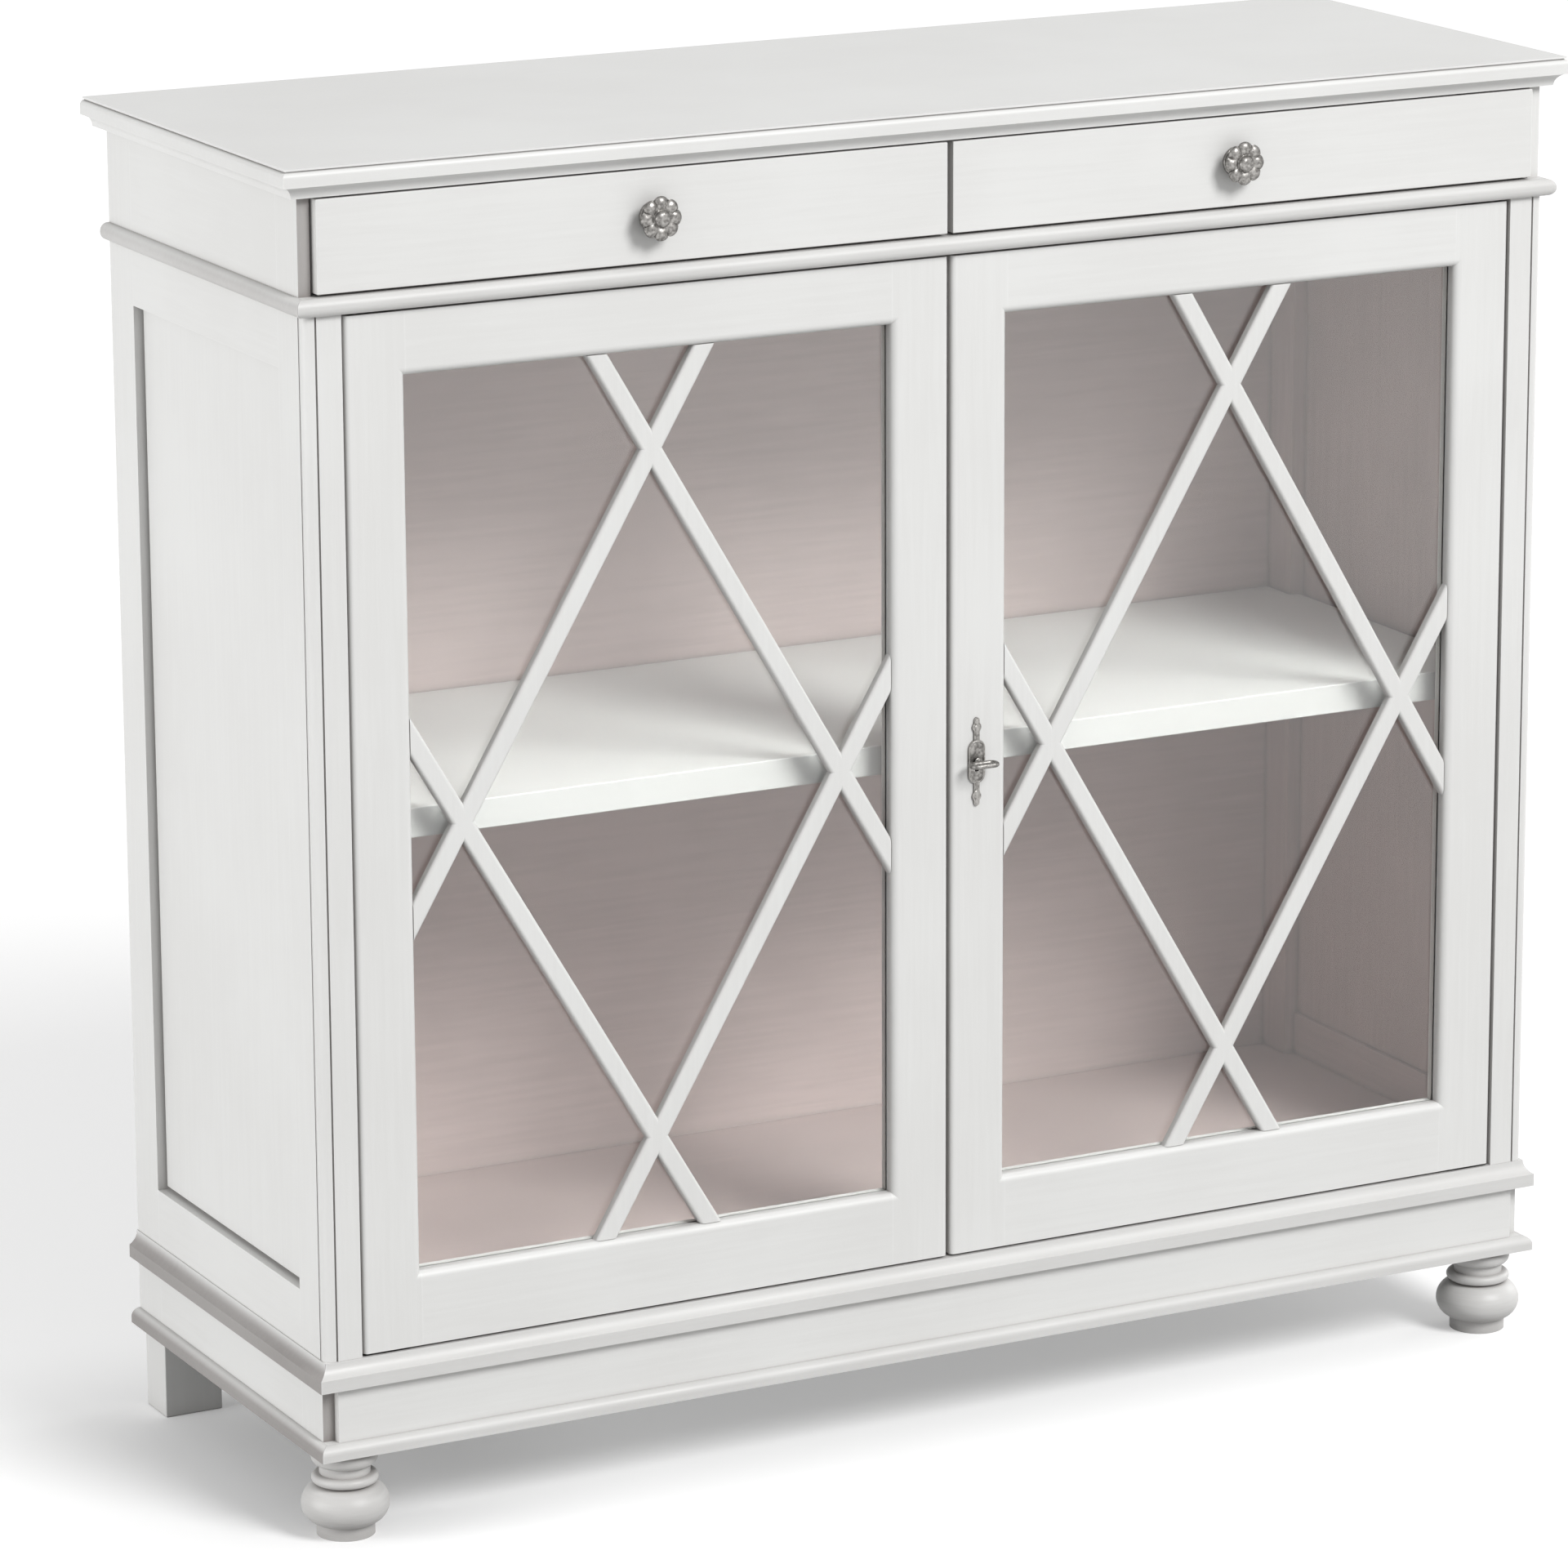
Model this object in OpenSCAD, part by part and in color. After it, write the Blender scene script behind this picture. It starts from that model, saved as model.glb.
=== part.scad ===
// Low glazed bookcase: two drawers over two glazed doors with a lozenge lattice, on bun feet.
// Millimetres, +Z up, front towards -Y. The origin is on the floor under the centre of the
// bookcase's outside box, which runs from the key's bow at the front to the top's back edge.

/* [Overall] */
// Width of the body over its two sides
body_w = 1104; // [960:1:1300]
// Depth of the body from the face of the posts to the back
body_d = 380; // [340:1:440]
// Height from the floor to the upper face of the top
total_h = 1090; // [1000:1:1250]

/* [Top board] */
// Thickness of the top board
top_t = 24; // [20:1:30]
// Overhang of the top past each side
top_side_overhang = 18; // [14:1:30]
// Overhang of the top past the posts' front face
top_front_overhang = 10; // [10:1:24]
// Overhang of the top past the back
top_back_overhang = 10; // [0:1:20]
// Radius of the cove worked under the top's moulded edge
top_cove_r = 10; // [6:1:10]
// Radius of the top's upper arris
top_arris_r = 4; // [2:0.5:6]
// Height and setback of the small step between that arris and the top's upper face
top_step = 2.5; // [1.5:0.5:3]

/* [Side frames] */
// Width of the front and rear posts, seen from the front
post_w = 31; // [30:1:40]
// Depth of the front posts, seen from the side
front_post_d = 48; // [46:1:64]
// Depth of the rear posts, seen from the side
rear_post_d = 46; // [36:1:60]
// Thickness of the side rails
side_t = 22; // [20:1:26]
// Height of side frame seen above the panel, up to the waist moulding
side_margin_top = 46; // [36:1:70]
// Height of side frame seen below the panel, down to the plinth cap
side_margin_bottom = 47; // [36:1:70]
// Thickness of the side panel's tongue
tongue_t = 6; // [5:1:7]
// How far the panel's tongue enters the groove
tongue_depth = 7; // [5:1:9]
// Width of the quirk between the frame and the panel's raised field
quirk_w = 3.5; // [2:0.5:6]
// Depth of that quirk below the raised field
quirk_d = 5; // [3:1:5]
// How far the raised field lies below the frame's face
field_setback = 7; // [4:1:7]
// Radius of the beaded corner on the front posts
bead_r = 6; // [4:1:8]
// Width of that bead, from the corner to the fine sunk line beside it
bead_w = 9; // [8:1:14]

/* [Levels] */
// Height of the feet below the plinth
foot_h = 72; // [60:1:100]
// Height of the base moulding
base_h = 12; // [10:1:16]
// Height of the plain plinth face between its mouldings
plinth_face_h = 45; // [30:1:70]
// Height of the plinth cap moulding
cap_h = 22; // [16:1:30]
// Height of the waist moulding and of the rail behind it
waist_h = 14; // [12:1:20]
// Height of the drawer tier between the waist moulding and the top
frieze_h = 76; // [70:1:110]
// Projection of the mouldings past the posts
moulding_p = 8; // [6:1:12]
// Hairline left at the mouldings' mitres
mitre_gap = 0.2; // [0.1:0.1:0.5]
// Width of the set-back strip at the corners of the drawer tier and the plinth
strip_w = 10; // [8:1:14]
// How far that strip lies behind the posts' front face
strip_setback = 8; // [5:1:10]

/* [Carcase boards] */
// Thickness of the bottom board
bottom_t = 18; // [16:1:26]
// How far the bottom board stands above the plinth, as a stop for the doors
bottom_rise = 10; // [6:1:14]
// Thickness of the plinth board
plinth_t = 20; // [16:1:22]
// Thickness of the back panel
back_t = 8; // [5:1:12]
// How far the back panel's edges enter the rear posts
back_rebate = 8; // [5:1:10]
// Depth of the front rails from front to back
rail_d = 58; // [50:1:90]
// Thickness of the rail over the drawers
top_rail_t = 18; // [14:1:22]
// Thickness of the divider between the drawers
divider_t = 18; // [14:1:24]
// Thickness of the rail at the back of the plinth
rear_rail_t = 20; // [16:1:26]

/* [Shelf] */
// Height of the shelf's underside above the floor
shelf_z = 554; // [420:1:700]
// Thickness of the shelf
shelf_t = 24; // [18:1:30]
// Distance of the shelf's front edge behind the posts' front face
shelf_setback = 32; // [28:1:34]
// Clearance between the shelf and what stands beside it
shelf_gap = 1.5; // [1:0.5:3]
// Radius of the shelf pins
pin_r = 3; // [2.5:0.5:4]
// Length of a shelf pin inside its post
pin_inset = 10; // [8:1:14]
// Length of a shelf pin outside its post
pin_out = 10; // [8:1:14]

/* [Doors] */
// Thickness of the door frames
door_t = 20; // [18:1:22]
// Width of the door stiles
stile_w = 50; // [50:1:70]
// Height of the doors' top rails
door_top_rail = 50; // [40:1:70]
// Height of the doors' bottom rails
door_bottom_rail = 60; // [45:1:90]
// Gap round the doors
door_gap = 2; // [1.5:0.5:3]
// Gap between the two doors
meeting_gap = 3; // [2:0.5:5]
// Radius of the doors' upright outer arrises
door_arris_r = 4; // [4:0.5:6]
// Radius of the ovolo round the glass
ovolo_r = 6; // [3:0.5:7]
// Width of the rebate for glass and beads
rebate_w = 8; // [6:0.5:8]
// Depth of the door face in front of the glass
sight_d = 11; // [9:0.5:12]
// Thickness of the glass
glass_t = 3; // [2:0.5:4]
// Clearance between the glass and the rebate
glass_gap = 1.5; // [1:0.5:3]
// Hairline left at the glazing beads' ends
bead_gap = 0.2; // [0.1:0.1:0.5]

/* [Lattice] */
// Width of a lattice bar
bar_w = 16; // [10:1:22]
// How far the bars lie behind the door's face
bar_setback = 3; // [0.5:0.5:4]
// Radius of the bars' front arrises
bar_arris_r = 3; // [1.5:0.5:4]
// Distance from the lozenge's side corners to the door stiles
lozenge_side = 44; // [20:1:80]
// Distance from the lozenge's upper and lower corners to the door rails
lozenge_end = 78; // [40:1:140]

/* [Door pivots] */
// Radius of the pivot pins
pivot_r = 3; // [2.5:0.5:4]
// Clearance round a pivot pin in its bush
pivot_fit = 0.08; // [0.04:0.01:0.1]
// Distance from the door's outer edge to the pivot
pivot_in = 12; // [11:0.5:16]
// Distance from the door's face to the pivot
pivot_back = 8; // [7:0.5:9]
// Length of a pivot plate
plate_l = 40; // [30:1:50]
// Width of a pivot plate
plate_w = 12; // [12:0.5:14]
// Thickness of a pivot plate
plate_t = 2; // [1.5:0.5:3]
// Length of a pivot pin inside its bush
pivot_l = 8; // [6:1:12]
// Wall of the bush round a pivot pin
bush_wall = 2; // [1.5:0.5:3]

/* [Lock] */
// How far the keyhole lies from the middle of its stile, toward the other door
key_inset = 2.5; // [0:0.5:4]
// Height of the escutcheon
escutcheon_h = 76; // [66:1:90]
// Width of the escutcheon's oval plate
escutcheon_w = 15; // [14:1:17]
// Height of that oval plate
escutcheon_oval_h = 36; // [26:1:40]
// Thickness of the escutcheon
escutcheon_t = 1.5; // [1:0.5:3]
// Width of the lock case
lock_w = 32; // [28:1:33]
// Height of the lock case
lock_h = 60; // [54:1:80]
// Depth of the lock case
lock_d = 11; // [10:0.5:12]
// Wall of the lock case
lock_wall = 1.5; // [1:0.5:2]
// Height of the lock bolt
bolt_h = 14; // [10:1:15]
// Thickness of the lock bolt
bolt_t = 5; // [4:0.5:6]
// Travel of the lock bolt
bolt_travel = 8; // [6:0.5:9]
// Clearance round the lock bolt
bolt_gap = 0.3; // [0.2:0.1:0.5]
// Radius of the key's shank
shank_r = 2.2; // [1.8:0.1:2.5]
// Width of the key's oval bow
bow_w = 26; // [20:1:28]
// Length of that bow, out from the door
bow_l = 13; // [12:1:14]
// Thickness of the key's bow
bow_t = 4; // [3:0.5:5]
// Clearance round the key's shank in the lock case
key_fit = 0.08; // [0.04:0.01:0.1]
// How far the key stands out from the door
key_reach = 20; // [20:1:32]

/* [Drawers] */
// Thickness of the drawer fronts
front_t = 18; // [16:1:20]
// Gap under the drawer fronts
front_gap_bottom = 2; // [1.5:0.5:3]
// Gap over the drawer fronts
front_gap_top = 1.5; // [1:0.5:3]
// Gap between the two drawer fronts
front_gap_mid = 5; // [3:0.5:7]
// Thickness of the drawer sides and backs
box_t = 12; // [9:1:14]
// Room left behind the drawer boxes
box_back_gap = 34; // [10:1:100]
// Clearance beside and over the drawer boxes
box_gap = 1.5; // [1:0.5:3]
// Clearance under the drawer sides
box_float = 0.5; // [0.3:0.1:1]
// Thickness of the drawer bottoms
tray_t = 5; // [4:0.5:6]
// Depth of the grooves that hold the drawer bottoms
tray_groove = 5; // [4:0.5:6]
// Height of the drawer bottom's underside above the box's lower edge
tray_lift = 8; // [6:1:12]

/* [Knobs] */
// Radius of the knob's head
knob_r = 17.5; // [14:0.5:20]
// How far the knob stands out from the drawer front
knob_reach = 20; // [18:1:30]
// How far each knob lies from the middle of its drawer front, toward the other drawer
knob_inset = 12; // [0:1:24]
// Radius of the knob's rose
rose_r = 12; // [9:0.5:14]
// Radius of the knob's stud
stud_r = 2.5; // [2:0.5:3]

/* [Feet] */
// Greatest radius of a bun foot
bun_r = 35; // [28:1:38]
// Distance from the posts' faces in to the bun foot's centre
bun_in = 25; // [22:1:26]
// Radius of the bun foot's spigot
spigot_r = 4; // [3:0.5:5]
// Length of the bun foot's spigot
spigot_l = 20; // [14:1:28]
// Width of a rear leg, seen from the front
leg_w = 50; // [40:1:60]
// Depth of a rear leg, seen from the side
leg_d = 40; // [32:1:42]
// How far a rear leg stands in from the body's faces
leg_in = 3; // [0:0.5:3]

/* [Hidden] */

$fn = 64;
cut = 1;                    // how far a cutter runs past the face it cuts
left = -1;
right = 1;
half_w = body_w / 2;

// front plane of the posts and doors, so that the outside box is centred on Y = 0
front_reach = max(key_reach, knob_reach, top_front_overhang);
front_y = (front_reach - body_d - top_back_overhang) / 2;

// levels from the floor up
z_base_top = foot_h + base_h;
z_cap = z_base_top + plinth_face_h;
z_cap_top = z_cap + cap_h;
z_under_top = total_h - top_t;
z_waist_top = z_under_top - frieze_h;
z_waist = z_waist_top - waist_h;

// side frames
post_in = half_w - post_w;              // inner face of the posts
rail_in = half_w - side_t;              // inner face of the side rails
rear_post_y = body_d - rear_post_d;
panel_z0 = z_cap_top + side_margin_bottom;
panel_z1 = z_waist - side_margin_top;
tongue_room = 1;                        // room left for the panel to move in its grooves
tongue_x1 = half_w - field_setback - quirk_d;
tongue_x0 = tongue_x1 - tongue_t;
strip_x = half_w - strip_w;
quirk_line_w = 1.6;                     // fine sunk line beside the posts' corner bead
quirk_line_d = 2.5;
back_y = body_d - back_t;
bottom_top = z_cap_top + bottom_rise;
bottom_z = bottom_top - bottom_t;
door_stop_gap = 0.5;

// doors, built for the right-hand side and mirrored
door_x0 = meeting_gap / 2;
door_x1 = post_in - door_gap;
door_z0 = z_cap_top + door_gap;
door_z1 = z_waist - door_gap;
sight_x0 = door_x0 + stile_w;
sight_x1 = door_x1 - stile_w;
sight_z0 = door_z0 + door_bottom_rail;
sight_z1 = door_z1 - door_top_rail;
sight_w = sight_x1 - sight_x0;
sight_h = sight_z1 - sight_z0;
glass_y = sight_d;
bead_y = glass_y + glass_t;
bar_t = sight_d - bar_setback;
lozenge_a = sight_w / 2 - lozenge_side;
lozenge_b = sight_h / 2 - lozenge_end;

// pivots, and the circle that the door's rear corner swings through
pivot_x = door_x1 - pivot_in;
swing_r = norm([pivot_in, door_t - pivot_back]) + 1;
swing_y = pivot_back + swing_r;
case_plate_x = post_in - door_gap - plate_l;
door_plate_x = door_x1 - 4 - plate_l;
plate_y = pivot_back - plate_w / 2;

// lock
key_x = door_x0 + stile_w / 2 - key_inset;
key_z = (door_z0 + door_z1) / 2;
lock_x = key_x - lock_w / 2;
lock_y = door_t - lock_d;
lock_z = key_z - lock_h / 2;
keyhole_room = 0.8;
bit_l = 7;
bit_w = 5;
bit_t = 2.4;
bolt_z = key_z + bit_l + 3;
bolt_y = lock_y + (lock_d - bolt_t) / 2;
bolt_x = door_x0 + 1;
bolt_l = lock_w - 4;
strike_t = 1.5;
strike_margin = 8;
strike_y = bolt_y - 2;
strike_w = bolt_t + 4;
strike_depth = bolt_travel + 3;

// drawers, built for the right-hand side and mirrored
front_x0 = front_gap_mid / 2;
front_x1 = strip_x - 2;
front_z0 = z_waist_top + front_gap_bottom;
front_z1 = z_under_top - front_gap_top;
notch_d = front_t + 2;                  // depth of the posts' recess behind the drawer fronts
box_x0 = divider_t / 2 + box_gap;
box_x1 = post_in - box_gap;
box_z0 = z_waist_top + box_float;
box_z1 = z_under_top - top_rail_t - box_gap;
box_y1 = back_y - box_back_gap;
tray_z = box_z0 + tray_lift;
knob_x = (front_x0 + front_x1) / 2 - knob_inset;
knob_z = (front_z0 + front_z1) / 2;
stud_fit = 0.1;

// shelf pins
pin_front_y = shelf_setback + 8;
pin_rear_y = (rear_post_y + back_y) / 2;
pin_z = shelf_z - pin_r;
pin_fit = 0.05;

// feet
foot_x = half_w - bun_in;
foot_y = bun_in;

// ---- shared shapes ----

// moves what is drawn from the front plane to its place on the floor
module on_floor() {
    translate([0, front_y, 0]) children();
}

// a right-hand piece, mirrored for the left-hand side
module handed(side) {
    on_floor() mirror([side == left ? 1 : 0, 0, 0]) children();
}

// box between two corners
module block(a, b) {
    translate(a) cube(b - a);
}

// shape in the plane of the front, drawn as X and Z, standing from y0 back to y1
module from_front(y0, y1) {
    translate([0, y1, 0]) rotate([90, 0, 0]) linear_extrude(y1 - y0) children();
}

// what a quarter-round takes off a corner at the origin
module arris_waste(r) {
    difference() {
        translate([-cut, -cut]) square(r + cut);
        translate([r, r]) circle(r);
    }
}

// ---- top board ----

// cross-section of a moulded edge: cove below, then rounded arris and small step, edge at x = 0
module edge_waste() {
    step_z = top_t - top_step;
    translate([0, 0]) circle(top_cove_r);
    translate([0, step_z]) mirror([0, 1]) arris_waste(top_arris_r);
    translate([-cut, step_z]) square([top_step + cut, top_step + cut]);
}

module top_blank(length, depth, moulded_ends) {
    difference() {
        square([depth, top_t]);
        edge_waste();
        if (moulded_ends == 2) translate([depth, 0]) mirror([1, 0]) edge_waste();
    }
}

module top_board() {
    top_w = body_w + 2 * top_side_overhang;
    top_d = body_d + top_front_overhang + top_back_overhang;
    color("white") on_floor() translate([0, -top_front_overhang, z_under_top])
        intersection() {
            translate([-top_w / 2, 0, 0]) rotate([90, 0, 90])
                linear_extrude(top_w) top_blank(top_w, top_d, 1);
            translate([-top_w / 2, top_d, 0]) rotate([90, 0, 0])
                linear_extrude(top_d) top_blank(top_d, top_w, 2);
        }
}

// ---- side frames ----

module foot_bore(r) {
    translate([foot_x, foot_y, foot_h - cut]) cylinder(h = spigot_l + cut, r = r);
}

module pin_bore(y) {
    translate([post_in - cut, y, pin_z]) rotate([0, 90, 0])
        cylinder(h = pin_inset + cut, r = pin_r + pin_fit);
}

// groove that the side panel's tongue enters, as one block round the whole panel
module panel_groove() {
    room = tongue_depth + tongue_room;
    block([tongue_x0, front_post_d - room, panel_z0 - tongue_depth],
        [tongue_x1, rear_post_y + room, panel_z1 + room]);
}

// plan of a front post with its beaded corner
module bead_plan() {
    difference() {
        translate([post_in, 0]) square([post_w, front_post_d]);
        translate([half_w, 0]) mirror([1, 0]) arris_waste(bead_r);
        translate([half_w - bead_w - quirk_line_w, -cut])
            square([quirk_line_w, quirk_line_d + cut]);
        translate([half_w - quirk_line_d, bead_w])
            square([quirk_line_d + cut, quirk_line_w]);
    }
}

module front_post(side) {
    color("whitesmoke") handed(side) difference() {
        union() {
            block([post_in, 0, foot_h], [half_w, front_post_d, z_cap_top]);
            translate([0, 0, z_cap_top]) linear_extrude(z_waist - z_cap_top) bead_plan();
            block([post_in, 0, z_waist], [half_w, front_post_d, z_under_top]);
        }
        block([post_in - cut, -cut, foot_h - cut], [strip_x, plinth_t, z_cap_top]);
        block([post_in - cut, -cut, z_waist_top], [strip_x, notch_d, z_under_top + cut]);
        block([strip_x - cut, -cut, z_base_top], [half_w + cut, strip_setback, z_cap]);
        block([strip_x - cut, -cut, z_waist_top], [half_w + cut, strip_setback, z_under_top + cut]);
        panel_groove();
        foot_bore(spigot_r);
        pin_bore(pin_front_y);
    }
}

module rear_post(side) {
    color("whitesmoke") handed(side) difference() {
        block([post_in, rear_post_y, foot_h], [half_w, body_d, z_under_top]);
        block([post_in - cut, back_y, foot_h - cut],
            [post_in + back_rebate, body_d + cut, z_under_top + cut]);
        panel_groove();
        pin_bore(pin_rear_y);
    }
}

module side_rail(side, z0, z1) {
    color("whitesmoke") handed(side) difference() {
        block([rail_in, front_post_d, z0], [half_w, rear_post_y, z1]);
        panel_groove();
    }
}

module side_panel(side) {
    color("whitesmoke") handed(side) union() {
        block([tongue_x0, front_post_d - tongue_depth, panel_z0 - tongue_depth],
            [tongue_x1, rear_post_y + tongue_depth, panel_z1 + tongue_depth]);
        block([tongue_x0, front_post_d + quirk_w, panel_z0 + quirk_w],
            [half_w - field_setback, rear_post_y - quirk_w, panel_z1 - quirk_w]);
    }
}

// ---- carcase boards ----

// board between the side frames, cut round the posts
module fitted_board(y0, y1, z0, z1) {
    block([-post_in, y0, z0], [post_in, y1, z1]);
    block([-rail_in, max(y0, front_post_d), z0], [rail_in, min(y1, rear_post_y), z1]);
}

module back_panel() {
    edge = post_in + back_rebate;
    color("whitesmoke") on_floor() block([-edge, back_y, foot_h], [edge, body_d, z_under_top]);
}

// its front edge stops the doors, cut back at both ends where their corners swing
module bottom_board() {
    stop_x = pivot_x - swing_r;
    color("whitesmoke") on_floor() {
        fitted_board(plinth_t, back_y, bottom_z, z_cap_top);
        fitted_board(swing_y, back_y, z_cap_top, bottom_top);
        block([-stop_x, door_t + door_stop_gap, z_cap_top], [stop_x, swing_y, bottom_top]);
    }
}

module waist_rail() {
    color("whitesmoke") on_floor() difference() {
        block([-post_in, 0, z_waist], [post_in, rail_d, z_waist_top]);
        for (side = [left, right])
            mirror([side == left ? 1 : 0, 0, 0])
                block([case_plate_x, plate_y, z_waist - cut],
                    [case_plate_x + plate_l, plate_y + plate_w, z_waist + plate_t]);
    }
}

module drawer_deck() {
    color("whitesmoke") on_floor() fitted_board(rail_d, back_y, z_waist, z_waist_top);
}

module top_front_rail() {
    color("whitesmoke") on_floor()
        block([-post_in, notch_d, z_under_top - top_rail_t], [post_in, rail_d, z_under_top]);
}

module rear_bottom_rail() {
    color("whitesmoke") on_floor()
        block([-post_in, back_y - rear_rail_t, foot_h], [post_in, back_y, bottom_z]);
}

module drawer_divider() {
    half_t = divider_t / 2;
    color("whitesmoke") on_floor() difference() {
        block([-half_t, notch_d, z_waist_top], [half_t, back_y, z_under_top]);
        block([-half_t - cut, notch_d - cut, z_under_top - top_rail_t],
            [half_t + cut, rail_d, z_under_top + cut]);
    }
}

module plinth_board() {
    color("whitesmoke") on_floor() difference() {
        block([-strip_x, 0, foot_h], [strip_x, plinth_t, z_cap_top]);
        for (side = [left, right]) mirror([side == left ? 1 : 0, 0, 0]) {
            block([case_plate_x, plate_y, z_cap_top - plate_t],
                [case_plate_x + plate_l, plate_y + plate_w, z_cap_top + cut]);
            foot_bore(spigot_r);
        }
    }
}

// ---- mouldings: a front length and two returns, mitred at the corners ----

// children() is the profile, standing out along x and rising along y
module mitred_run(z) {
    reach = half_w + moulding_p;
    on_floor() translate([0, 0, z]) {
        intersection() {
            translate([-reach, 0, 0]) rotate([90, 0, 90])
                linear_extrude(2 * reach) mirror([1, 0]) children();
            linear_extrude(total_h) polygon([
                [-reach + mitre_gap, -moulding_p], [reach - mitre_gap, -moulding_p],
                [half_w - mitre_gap, 0], [-half_w + mitre_gap, 0]]);
        }
        for (side = [left, right]) mirror([side == left ? 1 : 0, 0, 0])
            intersection() {
                translate([half_w, body_d, 0]) rotate([90, 0, 0])
                    linear_extrude(body_d + moulding_p) children();
                linear_extrude(total_h) polygon([
                    [half_w, 0], [reach, -moulding_p], [reach, body_d], [half_w, body_d]]);
            }
    }
}

// nosing, rounded above and below
module nosing_profile(height) {
    r = min(height / 2, moulding_p) - 0.5;
    difference() {
        square([moulding_p, height]);
        translate([moulding_p, 0]) mirror([1, 0]) arris_waste(r);
        translate([moulding_p, height]) mirror([1, 0]) mirror([0, 1]) arris_waste(r);
    }
}

// cove rising from a square nose back to the wall
module cove_profile() {
    lip = 1;
    cove_r = cap_h * 0.6;
    difference() {
        square([moulding_p, cap_h]);
        translate([lip + cove_r, cap_h]) circle(cove_r);
    }
}

// ovolo over a short square face
module ovolo_profile() {
    difference() {
        square([moulding_p, base_h]);
        translate([moulding_p, base_h]) mirror([1, 0]) mirror([0, 1])
            arris_waste(min(moulding_p, base_h) - 1);
    }
}

module waist_moulding() {
    color("white") mitred_run(z_waist) nosing_profile(waist_h);
}

module plinth_cap_moulding() {
    color("white") mitred_run(z_cap) cove_profile();
}

module base_moulding() {
    color("white") mitred_run(foot_h) ovolo_profile();
}

// ---- feet ----

// half-outline of a disc with a fully rounded edge, centred at height z
module round_edged_disc(r, z, edge_r) {
    translate([0, z]) intersection() {
        translate([0, -edge_r]) square([r, 2 * edge_r]);
        union() {
            translate([0, -edge_r]) square([max(r - edge_r, edge_r / 10), 2 * edge_r]);
            translate([r - edge_r, 0]) circle(edge_r);
        }
    }
}

// half-outline of the turned foot: pad, bun, ring, neck and cap, with the spigot above
module bun_outline() {
    pad_r = bun_r * 0.66;
    pad_h = foot_h * 0.18;
    bun_h = foot_h * 0.46;
    bun_z = foot_h * 0.36;
    ring_r = foot_h * 0.055;
    ring_z = foot_h * 0.65;
    neck_r = bun_r * 0.58;
    cap_z = foot_h * 0.8;
    cap_r = bun_r * 0.76;
    edge_r = (foot_h - cap_z) / 2;
    square([pad_r, pad_h]);
    square([neck_r, foot_h]);
    round_edged_disc(bun_r, bun_z, bun_h / 2);
    round_edged_disc(cap_r, ring_z, ring_r);
    round_edged_disc(cap_r, cap_z + edge_r, edge_r);
    square([spigot_r, foot_h + spigot_l]);
}

module bun_foot(side) {
    color("gainsboro") handed(side) translate([foot_x, foot_y, 0])
        rotate_extrude() bun_outline();
}

module rear_leg(side) {
    color("gainsboro") handed(side)
        block([half_w - leg_in - leg_w, body_d - leg_in - leg_d, 0],
            [half_w - leg_in, body_d - leg_in, foot_h]);
}

// ---- shelf ----

module shelf() {
    color("whitesmoke") on_floor() {
        block([-post_in + shelf_gap, shelf_setback, shelf_z],
            [post_in - shelf_gap, back_y - shelf_gap, shelf_z + shelf_t]);
        block([-rail_in + shelf_gap, front_post_d + shelf_gap, shelf_z],
            [rail_in - shelf_gap, rear_post_y - shelf_gap, shelf_z + shelf_t]);
    }
}

module shelf_pins() {
    color("silver") for (side = [left, right], y = [pin_front_y, pin_rear_y])
        handed(side) translate([post_in - pin_out, y, pin_z]) rotate([0, 90, 0])
            cylinder(h = pin_out + pin_inset, r = pin_r);
}

// ---- door pivots ----

// plate and pin let into the plinth board, pin upwards from z
module case_pivot(z) {
    block([case_plate_x, plate_y, z - plate_t],
        [case_plate_x + plate_l, plate_y + plate_w, z]);
    translate([pivot_x, pivot_back, z]) cylinder(h = door_gap + pivot_l, r = pivot_r);
}

// draws children() at the foot of the doors and turned over at their head
module head_and_foot() {
    children();
    translate([0, 0, z_cap_top + z_waist]) mirror([0, 0, 1]) children();
}

module case_pivots() {
    color("darkkhaki") for (side = [left, right]) handed(side)
        head_and_foot() case_pivot(z_cap_top);
}

// space that a door's pivot plate and bush take up in its stile
module door_pivot_body(r) {
    block([door_plate_x, plate_y, door_z0],
        [door_plate_x + plate_l, plate_y + plate_w, door_z0 + plate_t]);
    translate([pivot_x, pivot_back, door_z0]) cylinder(h = pivot_l + 1, r = r);
}

module door_pivots(side) {
    color("darkkhaki") handed(side) head_and_foot() difference() {
        door_pivot_body(pivot_r + pivot_fit + bush_wall);
        translate([pivot_x, pivot_back, door_z0 - cut])
            cylinder(h = pivot_l + 1 + 2 * cut, r = pivot_r + pivot_fit);
    }
}

// ---- doors ----

// section across the sight opening: straight sides, with the ovolo's waste at the face
module opening_section(size) {
    translate([-size / 2, -cut]) square([size, door_t + 2 * cut]);
    for (flip = [0, 1]) mirror([flip, 0]) translate([size / 2, 0]) arris_waste(ovolo_r);
}

// opening round the glass: two sections run across each other, so that the ovolo mitres
module sight_opening() {
    reach = ovolo_r + cut;
    translate([(sight_x0 + sight_x1) / 2, 0, (sight_z0 + sight_z1) / 2]) intersection() {
        translate([0, 0, -sight_h / 2 - reach]) linear_extrude(sight_h + 2 * reach)
            opening_section(sight_w);
        rotate([0, 90, 0]) translate([0, 0, -sight_w / 2 - reach])
            linear_extrude(sight_w + 2 * reach) opening_section(sight_h);
    }
}

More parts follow.
